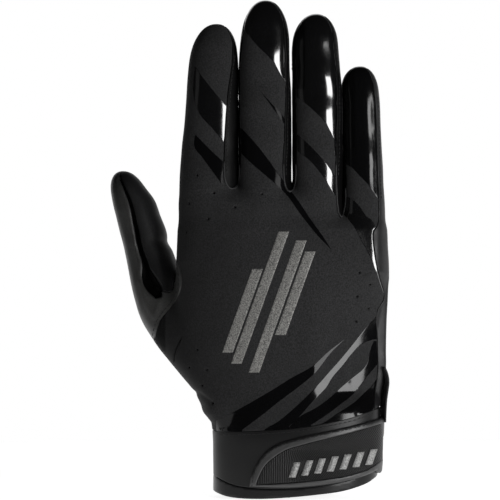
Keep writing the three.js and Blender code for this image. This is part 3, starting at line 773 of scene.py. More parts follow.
class Patch:
    """The triangles near one run of a cutting line."""

    def __init__(self, skin, faces, most_y, snap):
        self.faces = [tuple(f) for f in faces.tolist()]
        used = np.unique(faces)
        self.at = dict(zip(used.tolist(), map(tuple, skin.points[used].tolist())))
        self.normal = dict(zip(used.tolist(), map(tuple, skin.normals[used].tolist())))
        self.loose = set(used[~skin.fixed[used]].tolist())
        self.count = len(skin.points)
        self.most_y = most_y
        self.snap = snap
        self.moved = set()

    def add(self, p):
        self.at[self.count] = p
        self.count += 1
        return self.count - 1

    def can_move(self, i, least_facing):
        """Whether a point is free to slide and its surface faces the viewer enough for it."""
        return i in self.loose and abs(self.normal[i][1]) > least_facing

    def move(self, i, x, z):
        p, n = self.at[i], self.normal[i]
        y = p[1] - (n[0] * (x - p[0]) + n[2] * (z - p[2])) / n[1]
        self.at[i] = (x, y, z)
        self.loose.discard(i)
        self.moved.add(i)

    def put_point(self, q):
        """Makes q a vertex of every sheet of the surface that it lies on."""
        x, z = float(q[0]), float(q[1])
        at = self.at
        for k in range(len(self.faces)):
            f = self.faces[k]
            a, b, c = at[f[0]], at[f[1]], at[f[2]]
            if min(a[0], b[0], c[0]) > x or max(a[0], b[0], c[0]) < x:
                continue
            if min(a[2], b[2], c[2]) > z or max(a[2], b[2], c[2]) < z:
                continue
            whole = (b[0] - a[0]) * (c[2] - a[2]) - (c[0] - a[0]) * (b[2] - a[2])
            if abs(whole) < 1e-7:
                continue
            u = ((b[0] - x) * (c[2] - z) - (c[0] - x) * (b[2] - z)) / whole
            v = ((c[0] - x) * (a[2] - z) - (a[0] - x) * (c[2] - z)) / whole
            w = 1 - u - v
            y = u * a[1] + v * b[1] + w * c[1]
            if min(u, v, w) < 0 or y >= self.most_y:
                continue
            best = min(f, key=lambda i: math.hypot(at[i][0] - x, at[i][2] - z))
            gap = math.hypot(at[best][0] - x, at[best][2] - z)
            if gap < 1e-5:
                continue
            if gap < self.snap and self.can_move(best, POINT_FACING):
                self.move(best, x, z)
                continue
            i = self.add((x, y, z))
            self.faces[k] = (f[0], f[1], i)
            self.faces += [(f[1], f[2], i), (f[2], f[0], i)]

    def split(self, start, end, tiny=1e-4):
        """Splits the triangles along one segment."""
        sx, sz = float(start[0]), float(start[1])
        dx, dz = float(end[0]) - sx, float(end[1]) - sz
        length = math.hypot(dx, dz)
        if length < 1e-6:
            return
        dx, dz = dx / length, dz / length
        line = {}
        for i in dict.fromkeys(i for f in self.faces for i in f):
            p = self.at[i]
            x, z = p[0] - sx, p[2] - sz
            side, along = z * dx - x * dz, x * dx + z * dz
            close = abs(side) < self.snap * EDGE_SHARE and 0 < along < length and p[1] < self.most_y
            if close and self.can_move(i, EDGE_FACING):
                self.move(i, p[0] + side * dz, p[2] - side * dx)
                side = 0.0
            line[i] = (side, along)
        split = {}

        def crossing(a, b):
            key = (a, b) if a < b else (b, a)
            if key not in split:
                (side_a, along_a), (side_b, along_b) = line[key[0]], line[key[1]]
                split[key] = None
                if side_a * side_b < 0 and min(abs(side_a), abs(side_b)) > tiny:
                    u = side_a / (side_a - side_b)
                    along = along_a + u * (along_b - along_a)
                    p, q = self.at[key[0]], self.at[key[1]]
                    mid = tuple(p[i] + u * (q[i] - p[i]) for i in range(3))
                    if tiny < along < length - tiny and mid[1] < self.most_y:
                        split[key] = self.add(mid)
                        line[split[key]] = (0.0, along)
            return split[key]

        result = []
        for f in self.faces:
            sides = [line[i][0] for i in f]
            if min(sides) > -tiny or max(sides) < tiny:
                result.append(f)
                continue
            cuts = [crossing(f[i], f[(i + 1) % 3]) for i in range(3)]
            is_cut = [cut is not None for cut in cuts]
            if not any(is_cut):
                result.append(f)
                continue
            one = sum(is_cut) == 1
            i = is_cut.index(one)      # the edge that differs from the other two
            a, b, c = f[i], f[(i + 1) % 3], f[(i + 2) % 3]
            m, n, o = cuts[i], cuts[(i + 1) % 3], cuts[(i + 2) % 3]
            result += [(a, m, c), (m, b, c)] if one else [(a, b, n), (a, n, o), (o, n, c)]
        self.faces = result


def rim_of(points, normals, faces):
    """The border edges of some triangles, and at each border vertex the way into the piece."""
    edges = np.concatenate([faces[:, [0, 1]], faces[:, [1, 2]], faces[:, [2, 0]]])
    key = edges.min(1).astype(np.int64) * len(points) + edges.max(1)
    _, index, count = np.unique(key, return_index=True, return_counts=True)
    border = edges[index[count == 1]]
    run = points[border[:, 1]] - points[border[:, 0]]
    inward = np.zeros_like(points)
    for end in (0, 1):
        np.add.at(inward, border[:, end], np.cross(normals[border[:, end]], run))
    return border, unit(inward)


def near_rim(points, border, limit, step=0.35):
    """For each point the distance to the border and the way from it, within the limit."""
    samples = []
    for a, b in zip(points[border[:, 0]], points[border[:, 1]]):
        pieces = max(1, math.ceil(np.linalg.norm(b - a) / step))
        samples += [a + (b - a) * k / pieces for k in range(pieces)]
    tree = KDTree(len(samples))
    for i, p in enumerate(samples):
        tree.insert(p, i)
    tree.balance()
    distance = np.full(len(points), limit)
    way = np.zeros_like(points)
    for i, p in enumerate(points):
        place, _, gap = tree.find(p)
        if gap < limit:
            distance[i] = gap
            way[i] = p - np.array(place)
    return distance, way


def no_relief(p, n):
    return np.zeros(len(p))


def shell(skin, chosen, lift=0.0, thickness=WALL, roll=(SEAM_DEPTH, SEAM), relief=no_relief,
          clear=0.08, share=None):
    """A closed wall over some triangles of a skin: points, triangles and normals.

    The outer face lies lift above the skin and rolls in at the border by roll[0] over roll[1].
    The border on the viewer's side is moved into the piece by clear.
    """
    used, faces = np.unique(skin.faces[chosen], return_inverse=True)
    faces = faces.reshape(-1, 3)
    p, n = skin.points[used], skin.normals[used]
    border, inward = rim_of(p, n, faces)
    on_border = np.zeros(len(p), bool)
    on_border[border.ravel()] = True

    first = unit(np.cross(n, np.where(np.abs(n[:, [2]]) < 0.9, [[0, 0, 1.0]], [[1.0, 0, 0]])))
    second = np.cross(n, first)
    reach = 0.05
    height = relief(p, n)
    tilt = np.zeros_like(p)
    for way in (first, second):
        slope = (relief(p + way * reach, n) - relief(p - way * reach, n)) / (2 * reach)
        tilt += way * slope[:, None]

    depth, width = roll
    if share is not None:
        depth = depth * share(p)
    distance, way = near_rim(p, border, width)
    way[on_border] = inward[on_border]
    way = unit(way - n * (way * n).sum(1)[:, None])
    t = np.clip(distance / width, 0, 1)
    height = height + lift - depth * (1 - t) ** 2
    tilt += way * (2 * depth * (1 - t) / width)[:, None]

    pull = np.where(on_border & (n[:, 1] < 0), clear, 0)[:, None] * way
    outer = p + pull + n * height[:, None]
    inner = p + pull + n * (np.minimum(lift, height) - thickness)[:, None]
    count = len(p)
    a, b = border.T
    rim = np.concatenate([np.stack([b, a, a + count], 1), np.stack([b, a + count, b + count], 1)])
    points = np.vstack([outer, inner])
    triangles = np.vstack([faces, faces[:, ::-1] + count, rim])
    return points, triangles, np.vstack([unit(n - tilt), -n])


def add_mesh(name, made, material, nodes=()):
    """A piece of the glove from points in millimetres, triangles and, if given, normals."""
    points, triangles, *normals = made
    mesh = bpy.data.meshes.new(name)
    mesh.vertices.add(len(points))
    mesh.vertices.foreach_set("co", (points * MM).astype(np.float32).ravel())
    mesh.loops.add(triangles.size)
    mesh.loops.foreach_set("vertex_index", triangles.astype(np.int32).ravel())
    mesh.polygons.add(len(triangles))
    mesh.polygons.foreach_set("loop_start", np.arange(0, triangles.size, 3, dtype=np.int32))
    mesh.update(calc_edges=True)
    mesh.validate()
    mesh.shade_smooth()
    if normals:
        mesh.normals_split_custom_set_from_vertices([tuple(v) for v in normals[0]])
    mesh.materials.append(material)
    piece = bpy.data.objects.new(name, mesh)
    bpy.context.scene.collection.objects.link(piece)
    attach(piece, "root")
    if nodes:
        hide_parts(*nodes)


# Materials. Colours are linear, and sizes are in millimetres.

def plain(name, color, roughness, specular=0.5):
    material = bpy.data.materials.new(name)
    material.use_nodes = True
    shader = material.node_tree.nodes["Principled BSDF"]
    shader.inputs["Base Color"].default_value = (*color, 1)
    shader.inputs["Roughness"].default_value = roughness
    shader.inputs["Specular IOR Level"].default_value = specular
    return material, shader


class Graph:
    """A few shorthands for building the nodes of a material or of the world."""

    def __init__(self, owner):
        self.tree = owner.node_tree
        self.coordinates = self.tree.nodes.new("ShaderNodeTexCoord").outputs
        self.place = self.coordinates["Object"]

    def node(self, kind, inputs=(), **settings):
        made = self.tree.nodes.new(kind)
        for key, value in settings.items():
            setattr(made, key, value)
        for key, value in dict(inputs).items():
            self.give(made.inputs[key], value)
        return made.outputs

    def give(self, socket, value):
        """Sets a socket, or links it where the value comes from another node."""
        if isinstance(value, bpy.types.NodeSocket):
            self.tree.links.new(value, socket)
        else:
            socket.default_value = value

    def noise(self, size, detail=2.0, rough=0.5, stretch=None):
        """Noise with features of about that size."""
        place = self.place
        if stretch:
            place = self.node("ShaderNodeMapping", {"Vector": place, "Scale": stretch})[0]
        inputs = {"Vector": place, "Scale": 1 / (size * MM), "Detail": detail, "Roughness": rough}
        return self.node("ShaderNodeTexNoise", inputs)["Fac"]

    def ramp(self, value, low, high, start=0.0, end=1.0):
        inputs = {"Value": value, 1: low, 2: high, 3: start, 4: end}
        return self.node("ShaderNodeMapRange", inputs)[0]

    def mix(self, share, a, b):
        a, b = (c if isinstance(c, bpy.types.NodeSocket) else (*c, 1) for c in (a, b))
        return self.node("ShaderNodeMix", {0: share, 6: a, 7: b}, data_type="RGBA")[2]

    def bump(self, height, distance, strength):
        inputs = {"Height": height, "Distance": distance * MM, "Strength": strength}
        return self.node("ShaderNodeBump", inputs)["Normal"]

    def math(self, operation, a, b=0.0, c=0.5):
        return self.node("ShaderNodeMath", {0: a, 1: b, 2: c}, operation=operation)[0]

    def along(self, axis):
        """The place along X, Y or Z, in metres."""
        return self.node("ShaderNodeSeparateXYZ", {"Vector": self.place})[axis]

    def cover(self, shader, shade, height, distance, strength):
        """Gives a surface its colour and fine relief."""
        self.give(shader.inputs["Base Color"], shade)
        self.give(shader.inputs["Normal"], self.bump(height, distance, strength))


def knit_material():
    """Flecked knit with soft patches, and painted shade that darkens it towards the thumb, less so on the
    fingers.
    """
    material, shader = plain("stretch knit", (0.012, 0.012, 0.0125), 0.85, 0.25)
    graph = Graph(material)
    grain = graph.noise(0.55, rough=0.6, stretch=(1, 1, 0.8))
    flecks = graph.ramp(grain, 0.35, 0.7)
    shade = graph.mix(flecks, (0.009, 0.009, 0.0094), (0.030, 0.030, 0.031))
    patches = graph.ramp(graph.noise(9.0, detail=1.0), 0.3, 0.7, 0.0, 0.25)
    shade = graph.mix(patches, shade, (0.0155, 0.0155, 0.016))
    # Painted shade: the knit gets darker towards the thumb, and less so on the fingers.
    painted_shade_by_thumb = graph.ramp(graph.along("X"), -0.052, -0.015, 0.62, 0.0)
    painted_shade_off_fingers = graph.ramp(graph.along("Z"), 0.115, 0.14, 1.0, 0.25)
    shade = graph.mix(graph.math("MULTIPLY", painted_shade_by_thumb, painted_shade_off_fingers), shade, (0, 0, 0))
    graph.cover(shader, shade, grain, distance=0.12, strength=0.7)
    shader.inputs["Sheen Weight"].default_value = 0.05
    shader.inputs["Sheen Roughness"].default_value = 0.5
    return material


def leather_material(name, color, roughness, specular, painted_light_ramp=None):
    """Grained and slightly wrinkled leather.

    Painted light ramp, if given, is a way in metres, the two places on it between which the
    leather's colour is scaled from one lightness to the other: painted light and shade.
    """
    material, shader = plain(name, color, roughness, specular)
    graph = Graph(material)
    grain = graph.noise(0.7, detail=3.0, rough=0.6)
    wrinkle = graph.noise(3.5, detail=3.0, rough=0.55, stretch=(1, 1, 0.6))
    relief = graph.math("ADD", grain, graph.math("MULTIPLY", wrinkle, 2.0))
    worn = graph.ramp(wrinkle, 0.35, 0.7, roughness - 0.05, roughness + 0.08)
    graph.give(shader.inputs["Roughness"], worn)
    shade = graph.mix(graph.ramp(grain, 0.4, 0.7), color, [1.5 * c for c in color])
    # Painted light and shade: the colour is scaled along a way through the leather.
    if painted_light_ramp:
        way, *levels = painted_light_ramp
        inputs = {0: graph.place, 1: way}
        along = graph.node("ShaderNodeVectorMath", inputs, operation="DOT_PRODUCT")["Value"]
        inputs = {0: shade, "Scale": graph.ramp(along, *levels)}
        shade = graph.node("ShaderNodeVectorMath", inputs, operation="SCALE")[0]
    graph.cover(shader, shade, relief, distance=0.05, strength=0.6)
    return material


def gloss_material(name, index, specular, coat):
    """A black film with a little waviness, smeared in places."""
    material, shader = plain(name, (0.003, 0.003, 0.0033), 0.13, specular)
    graph = Graph(material)
    wave = graph.noise(7.0, detail=1.0, rough=0.4)
    graph.give(shader.inputs["Normal"], graph.bump(wave, distance=0.05, strength=0.5))
    smears = graph.ramp(graph.noise(2.5), 0.35, 0.75, 0.11, 0.17)
    graph.give(shader.inputs["Roughness"], smears)
    shader.inputs["IOR"].default_value = index
    shader.inputs["Coat Weight"].default_value = coat
    shader.inputs["Coat Roughness"].default_value = 0.12
    return material


def print_material(name, dark, light):
    """A grainy reflective print."""
    material, shader = plain(name, light, 0.55)
    graph = Graph(material)
    grain = graph.noise(0.5, rough=0.7)
    shade = graph.mix(graph.ramp(grain, 0.35, 0.65), dark, light)
    graph.cover(shader, shade, grain, distance=0.06, strength=0.6)
    shader.inputs["Metallic"].default_value = 0.2
    return material


def grained_material(name, color, roughness, grain_size, specular=0.4):
    """Cloth, rubber or thread with a fine, even grain."""
    material, shader = plain(name, color, roughness, specular)
    graph = Graph(material)
    grain = graph.noise(grain_size, rough=0.6)
    shade = graph.mix(graph.ramp(grain, 0.4, 0.7), color, [1.6 * c for c in color])
    graph.cover(shader, shade, grain, distance=0.04, strength=0.5)
    return material


def ribbed_material():
    """Fine ribs, upright to the left and in zigzags to the right."""
    material, shader = plain("ribbed rubber", (0.0045, 0.0045, 0.0047), 0.5, 0.32)
    graph = Graph(material)
    across = graph.along("X")
    zigzag = graph.math("PINGPONG", graph.math("ADD", graph.along("Z"), 1.0), 4.5 * MM)
    share = graph.ramp(across, -0.006, 0.004, 0.0, 0.8)
    bent = graph.math("ADD", across, graph.math("MULTIPLY", zigzag, share))
    wave = graph.math("SINE", graph.math("MULTIPLY", bent, 2 * math.pi / (RIB * MM)))
    ribs = graph.math("MULTIPLY_ADD", wave, 0.5)
    shade = graph.mix(ribs, (0.0004, 0.0004, 0.0004), (0.007, 0.007, 0.0072))
    graph.cover(shader, shade, ribs, distance=0.2, strength=0.9)
    return material


def tape_material():
    """Narrow tape, woven across."""
    material, shader = plain("webbing", (0.015, 0.015, 0.016), 0.7, 0.3)
    graph = Graph(material)
    inputs = {"Vector": graph.place, "Scale": 1 / (0.9 * MM), "Distortion": 0.3}
    weave = graph.node("ShaderNodeTexWave", inputs, bands_direction="Z")["Fac"]
    shade = graph.mix(weave, (0.022, 0.022, 0.023), (0.055, 0.055, 0.056))
    graph.cover(shader, shade, weave, distance=0.2, strength=0.6)
    return material


knit = knit_material()
palm_leather = leather_material("palm leather", (0.0095, 0.0095, 0.010), 0.42, 0.3)
# Painted light: the thumb band is lighter than the palm leather, and half as light again at its lower end.
band_leather = leather_material("thumb band leather", (0.024, 0.024, 0.0232), 0.42, 0.45,
                                ((0, 0, 1), 0.084, 0.104, 1.5, 1.0))
# Painted light and shade: the thumb's inner panel goes from dark on its left to twice as light on its right,
# where the hand shades it.
thumb_leather = leather_material("thumb leather", (0.012, 0.012, 0.0125), 0.5, 0.22,
                                 ((1, 0, 0.34), -0.036, -0.020, 0.24, 2.0))
# Very dark leather for the gussets, made darker still as painted shade between the fingers.
gusset_leather = leather_material("gusset leather", (0.0014, 0.0014, 0.0015), 0.5, 0.12)
# Near-black leather for the floor of the thumb's groove: painted shade in the valley.
groove_shade_leather = leather_material("groove shade leather", (0.0004, 0.0004, 0.0004), 0.6, 0.05)
gloss = gloss_material("gloss film", index=2.0, specular=0.5, coat=1.0)
soft_gloss = gloss_material("soft gloss film", index=1.5, specular=0.4, coat=0.0)
dim_gloss = gloss_material("dim gloss film", index=1.5, specular=0.22, coat=0.0)
dull_gloss = gloss_material("dull gloss film", index=1.5, specular=0.08, coat=0.0)
silver_print = print_material("reflective print", (0.05, 0.05, 0.048), (0.30, 0.295, 0.28))
mark_print = print_material("mark print", (0.14, 0.14, 0.14), (0.48, 0.48, 0.47))
neoprene = grained_material("neoprene", (0.0035, 0.0035, 0.0037), 0.42, 0.4)
binding = grained_material("binding", (0.002, 0.002, 0.0022), 0.3, 0.3, 0.32)
strap_rubber = grained_material("strap", (0.003, 0.003, 0.0032), 0.45, 0.3, 1.0)
ribbed = ribbed_material()
webbing = tape_material()
thread = grained_material("thread", (0.010, 0.010, 0.0105), 0.6, 0.2)
cord_cloth = grained_material("cord", (0.010, 0.010, 0.0105), 0.55, 0.3)

film_finish = dict.fromkeys(FILMS, gloss)
film_finish.update(dict.fromkeys(("little_tip", "wrist_2", "wrist_3", "wrist_4"), soft_gloss))
film_finish.update(dict.fromkeys(("index_lower", "middle_slit", "middle_sweep"), dull_gloss))
film_finish["wrist_1"] = dim_gloss


# Lines of the seams

def finger_path(name, wide_left=False, wide_right=False, steps=7):
    """Up the left seam, over the fingertip in an arch and down the right seam.

    A wide side runs straight up beside the finger instead.
    """
    rows = SEAMS[name]
    level, left, right = rows[-1]
    rise = LIMBS[name]["top"] + TIP_RISE - level
    sides = []
    for column, sign, wide, wide_x in zip((1, 2), (-1, 1), (wide_left, wide_right), TIPS[name]):
        if wide:
            sides.append([(wide_x, rows[0][0]), (wide_x, ABOVE)])
            continue
        arch = []
        for i in range(1, steps + 1):
            angle = math.pi / 2 * i / (steps + 1)
            across = (right - left) / 2 * math.cos(angle)
            arch.append(((left + right) / 2 + sign * across, level + rise * math.sin(angle)))
        sides.append([(row[column], row[0]) for row in rows] + arch)
    top = ABOVE if wide_left or wide_right else level + rise
    return sides[0] + [((left + right) / 2, top)] + sides[1][::-1]


def gusset_end(start, end, lowest, tail=0, steps=7):
    """The round lower end of a gusset between two fingers, with a straight tail up each side."""
    (z0, _, x0), (z1, x1, _) = SEAMS[start][0], SEAMS[end][0]
    line = []
    for i in range(1, steps + 1):
        angle = math.pi * i / (steps + 1)
        along = (1 - math.cos(angle)) / 2
        level = z0 + (z1 - z0) * along
        line.append((x0 + (x1 - x0) * along, level - (level - lowest) * math.sin(angle)))
    if tail:
        line = [(x0, z0 + tail), (x0, z0)] + line + [(x1, z1), (x1, z1 + tail)]
    return line


def hand_outline(wide):
    """The outline of the knit or, where it is wide, of everything between the gussets."""
    line = [(TIPS["index"][0], BELOW)] if wide else list(LEFT_EDGE)
    line += finger_path("index", wide_left=True)
    for start, end, lowest in zip(FINGERS, FINGERS[1:], GUSSET_ENDS):
        line += gusset_end(start, end, lowest)
        line += finger_path(end, wide_right=wide and end == "little")
    return line + ([(TIPS["little"][1], BELOW)] if wide else list(RIGHT_EDGE))


def slanted_box(x, z, width, height, slant):
    """The corners of an upright box that leans to the right."""
    return np.array([(x + a * width / 2 + b * slant * height / 2, z + b * height / 2)
                     for a, b in CORNERS])


def over(line):
    """The region above a line that runs from left to right."""
    return np.vstack([line, [line[-1][0], ABOVE], [line[0][0], ABOVE]])


def opening(line, width):
    """A slit of that width along a line, with pointed ends."""
    angles = np.linspace(CREASE_BLUNTNESS, math.pi - CREASE_BLUNTNESS, len(line))
    half = np.outer(width / 2 * np.sin(angles), [1, 0])
    return np.vstack([line - half, (line + half)[::-1]])


back_outline = curve(hand_outline(wide=False))
wide_outline = curve(hand_outline(wide=True))
thumb_outline = curve(THUMB_AREA)
valley_outline = curve(THUMB_VALLEY)
groove_outline = curve(THUMB_GROOVE, step=1.5)
crease_line = curve(CREASE, step=1.0, closed=False)
crease_mouth = opening(crease_line, CREASE_WIDTH)
cuff_line = curve(CUFF_SEAM, closed=False)
binding_line = curve(BINDING_LINE, closed=False)
hem_line = curve(HEM_LINE, closed=False)
films = {name: curve(outline, step=2.0, corner_deg=32) for name, outline in FILMS.items()}
bars = [slanted_box(x, z, BAR_WIDTH, height, BAR_SLANT) for x, z, height in BARS]
turn = np.arange(VENT_SIDES) * 2 * math.pi / VENT_SIDES
vent_circle = np.stack([np.cos(turn), np.sin(turn)], axis=1) * VENT_RADIUS
vents = [front(*pixel) for pixel in VENT_PIXELS]
strap_outline = curve(STRAP_FACE_OUTLINE, step=2.0)
end_outline = curve(STRAP_END_OUTLINE, step=2.0)
insert_outline = curve(INSERT_OUTLINE, step=2.0)


# The sewn hand

hand = Skin(hand_field, *HAND_BOX, -NET_DEPTH)
hand.cut(cuff_line, closed=False)
hand.cut(wide_outline)
hand.cut(back_outline, most_y=SPLIT_Y + 1)
hand.cut(thumb_outline)
hand.cut(valley_outline)
hand.cut(groove_outline, most_y=GROOVE_Y, snap=CLOSE_SNAP)
hand.cut(crease_mouth, most_y=0, snap=FINE_SNAP)
for outline in films.values():
    hand.cut(outline, most_y=SPLIT_Y, snap=FILM_SNAP)
for outline in bars:
    hand.cut(outline, most_y=0, snap=FILM_SNAP)
for vent in vents:
    hand.cut(vent_circle + vent, most_y=0, snap=FINE_SNAP)

# Edges where the panels start to roll in at their seams, and where the films get thinner
hand.cut_level(depth_of, SPLIT_Y, hand.chosen(back_outline) & ~hand.chosen(thumb_outline))
hand.cut_level(gap_to(back_outline), SEAM)
for inside in (SEAM, SEAM + FILM_EDGE):
    hand.cut_level(depth_of, SPLIT_Y - inside, hand.chosen(back_outline, SPLIT_Y))
hand.cut_level(gap_to(back_outline), SEAM + FILM_EDGE, hand.chosen(back_outline, SPLIT_Y))
for outline in films.values():
    hand.cut_level(gap_to(outline), FILM_EDGE, hand.chosen(outline, SPLIT_Y))
for outline in (wide_outline, thumb_outline, valley_outline):
    hand.cut_level(gap_to(outline), SEAM)
hand.cut_level(gap_to(cuff_line, closed=False), SEAM)
hand.cut_level(gap_to(crease_line, closed=False), CREASE_EDGE, hand.middles()[:, 1] < 0)
hand.settle()

middles = hand.middles()
x = middles[:, 0]
sewn = hand.chosen(over(cuff_line))
in_thumb = sewn & hand.chosen(thumb_outline)
in_valley = hand.chosen(valley_outline)
in_groove = in_thumb & hand.chosen(groove_outline, GROOVE_Y)
in_wide = hand.chosen(wide_outline)
in_back = hand.chosen(back_outline, SPLIT_Y)
is_open = hand.chosen(crease_mouth, most_y=0)
for vent in vents:
    from_vent = np.hypot(*(flat(middles) - vent).T)
    is_open |= (from_vent < VENT_RADIUS * VENT_OPEN) & (middles[:, 1] < 0)
body = sewn & ~in_thumb
back = body & in_back
gusset = body & ~in_wide

# Piece, triangles, node, material and slot of each panel
panels = [
    ("knit_back", back & ~is_open, "back_panel", knit, "stretch_knit"),
    ("leather_palm", body & in_wide & ~in_back, "palm_panel", palm_leather, "palm_leather"),
]
panels += [(name, gusset & (x > low) & (x < high), node, gusset_leather, "gusset_leather")
           for name, node, low, high in GUSSETS]
thumb_panels = [
    ("thumb_band", in_thumb & in_valley & ~in_groove, "thumb_outer", band_leather, "palm_leather"),
    ("thumb_panel", in_thumb & ~in_valley & ~in_groove, "thumb_inner", thumb_leather,
     "gusset_leather"),
]


def finger_bulges(p):
    """Soft swellings along the back of each finger, which break up the reflections."""
    x, z = p[:, 0], p[:, 2]
    height = np.zeros(len(p))
    for name, (level, period, size) in BULGES.items():
        left, right, _, _ = limbs[name].edges(z)
        across = (2 * x - left - right) / (right - left)
        side = np.clip(1 - across**2, 0, 1)
        start, rise, below_tip, fall = BULGE_SPAN
        span = window(z, start, rise, limbs[name].top - below_tip, fall)
        height += size * side * span * np.sin(2 * math.pi * (z - level) / period)
    return height


def little_facet(p):
    """The little finger's flatter side."""
    place, half_width, depth = FACET
    left, right, _, _ = limbs["little"].edges(p[:, 2])
    gap = p[:, 0] - (left + right) / 2 - place * (right - left) / 2
    start, rise, below_tip, fall = FACET_SPAN
    span = window(p[:, 2], start, rise, limbs["little"].top - below_tip, fall)
    return -depth * span * np.exp(-((gap / half_width) ** 2))


def thumb_groove(p):
    """The deep valley along the thumb, and the band that turns down into it."""
    x, y, z = p.T
    xz = flat(p)
    gap = away(groove_outline, xz, limit=GROOVE_REACH)
    inside = np.where(within(groove_outline, xz), gap, -gap)
    start, run = GROOVE_RISE_Z
    deep = GROOVE_DEPTH - GROOVE_RISE * smoothstep((z - start) / run)
    outside, width = GROOVE_WALL
    depth = deep * smoothstep((inside + outside) / width)
    edge = np.array(BAND_LINE)[::-1]
    beside_edge = x - np.interp(z, edge[:, 1], edge[:, 0])
    turned = np.clip(1 + beside_edge / BAND_WIDTH, 0, 1) ** 2
    turned = smoothstep(0.5 - beside_edge / BAND_EDGE) * turned * window(z, *BAND_SPAN)
    return -(depth + BAND_DROP * turned) * smoothstep((GROOVE_Y - y) / GROOVE_Y_FADE)


def side_ridge(p):
    """The fuller side below the little finger."""
    x, z = p[:, 0], p[:, 2]
    top, spread, high, edge = SIDE_RIDGE
    ridge = high * np.exp(-((np.maximum(top - x, 0) / spread) ** 2))
    return ridge * smoothstep((edge - x) / (edge - top)) * window(z, *SIDE_RIDGE_SPAN)


def wrist_ripple(p):
    """One ripple of the cloth over the wrist."""
    falls, length, size = RIPPLE
    phase = 2 * math.pi * (p[:, 0] - falls) / length
    span = window(phase, *RIPPLE_ANGLES) * window(p[:, 2], *RIPPLE_SPAN)
    return -size * np.sin(phase) * span


def crease_fold(p):
    """A crease at the thumb's root: the cloth falls gently to it and rises in a step."""
    x, z = p[:, 0], p[:, 2]
    line = np.array(CREASE)[::-1]
    limit = CREASE_REACH * CREASE_SLOPE
    gap = away(crease_line, flat(p), closed=False, limit=limit)
    span = window(z, line[0, 1], CREASE_FADE, line[-1, 1], CREASE_FADE)
    falling = np.exp(-gap / CREASE_SLOPE) - math.exp(-limit / CREASE_SLOPE)
    rising = np.clip((CREASE_EDGE - gap) / CREASE_STEP, 0, 1)
    before = x < np.interp(z, line[:, 1], line[:, 0])
    return -CREASE_DEPTH * span * np.where(before, falling, rising)


def hand_relief(p, n):
    """Unevenness of the cloth, and the folds that a hand leaves in it."""
    height = np.zeros(len(p))
    for size, way, phase in WAVES:
        height += size * np.sin(p @ np.array(way) + phase)
    facing = n[:, 1] < 0
    for form in (finger_bulges, little_facet, thumb_groove, side_ridge, wrist_ripple, crease_fold):
        height[facing] += form(p[facing])
    folded = facing | (p[:, 0] < FOLD_WRAP_X)
    for line, size, width in FOLDS:
        limit = FOLD_REACH * width
        gap = away(np.array(line, float), flat(p[folded]), closed=False, limit=limit)
        height[folded] += size * (np.exp(-((gap / width) ** 2)) - math.exp(-(FOLD_REACH**2)))
    return height


def seam_share(p):
    """The seams are flatter where they go over a fingertip, and round the thumb's root."""
    x, z = p[:, 0], p[:, 2]
    share = np.ones(len(p))
    for name, drop in SEAM_FADES.items():
        left, right, _, _ = limbs[name].edges(z)
        near = (x > left - SEAM_MARGIN) & (x < right + SEAM_MARGIN)
        fade = 1 - (1 - TIP_SEAM) * smoothstep((z - limbs[name].top + drop) / SEAM_FADE)
        share[near] = np.minimum(share, fade)[near]
    share[(x < THUMB_ROOT_X) & (z > THUMB_ROOT_Z[0]) & (z < THUMB_ROOT_Z[1])] = TIP_SEAM
    return share


def thumb_share(p):
    """The thumb's leather is joined almost flush, but for the lower end of the inner panel."""
    x, z = p[:, 0], p[:, 2]
    low, high = INNER_END_Z
    at_end = (x > INNER_END_X) & (z > low) & (z < high)
    return np.where(at_end, INNER_END_SEAM, THUMB_SEAM_SHARE)


for name, chosen, node, material, slot in panels:
    made = shell(hand, chosen, relief=hand_relief, share=seam_share)
    add_mesh(name, made, material, (node,))
for name, chosen, node, material, slot in thumb_panels:
    made = shell(hand, chosen, relief=hand_relief, share=thumb_share, clear=THUMB_CLEAR)
    add_mesh(name, made, material, (node,))
# The floor of the thumb's groove, in near-black leather that is painted shade.
made = shell(hand, in_groove, relief=hand_relief, share=thumb_share)
add_mesh("thumb_groove_shade", made, groove_shade_leather)

# Films and bars keep clear of the seams
clear_back = back & (gap_to(back_outline)(middles) > SEAM) & (middles[:, 1] < SPLIT_Y - SEAM)
for name, outline in films.items():
    chosen = clear_back & hand.chosen(outline)
    made = shell(hand, chosen, FILM, FILM_WALL, (FILM_ROLL, FILM_EDGE), hand_relief, clear=0)
    add_mesh("gloss_" + name, made, film_finish[name], ("inlay_" + name,))
for i, outline in enumerate(bars):
    chosen = clear_back & hand.chosen(outline)
    made = shell(hand, chosen, PRINT, PRINT_WALL, PRINT_ROLL, hand_relief, clear=0)
    add_mesh(f"print_bar_{i + 1}", made, silver_print, (f"emblem_bar_{i + 1}",))


# The wrist

cuff = Skin(cuff_field, *WRIST_BOX)
for line in (cuff_line, binding_line, hem_line):
    cuff.cut(line, closed=False)
cuff.cut(strap_outline, most_y=0)
cuff.cut(insert_outline, most_y=0, snap=FILM_SNAP)
cuff.cut_level(depth_of, 0.0, cuff.middles()[:, 0] > STRAP_TURN_X)
cuff.cut(end_outline, snap=CLOSE_SNAP)
for line in (cuff_line, binding_line, hem_line):
    cuff.cut_level(gap_to(line, closed=False), SEAM)
cuff.cut_level(gap_to(strap_outline), SEAM)
cuff.cut_level(gap_to(insert_outline), WELT_WALL[0], cuff.middles()[:, 1] < 0)
cuff.settle()

above_hem = cuff.chosen(over(hem_line))
above_binding = cuff.chosen(over(binding_line))
above_cuff = cuff.chosen(over(cuff_line))
facing_viewer = cuff.middles()[:, 1] < 0
on_strap = np.where(facing_viewer, cuff.chosen(strap_outline), cuff.chosen(end_outline))
on_insert = cuff.chosen(insert_outline, most_y=0)


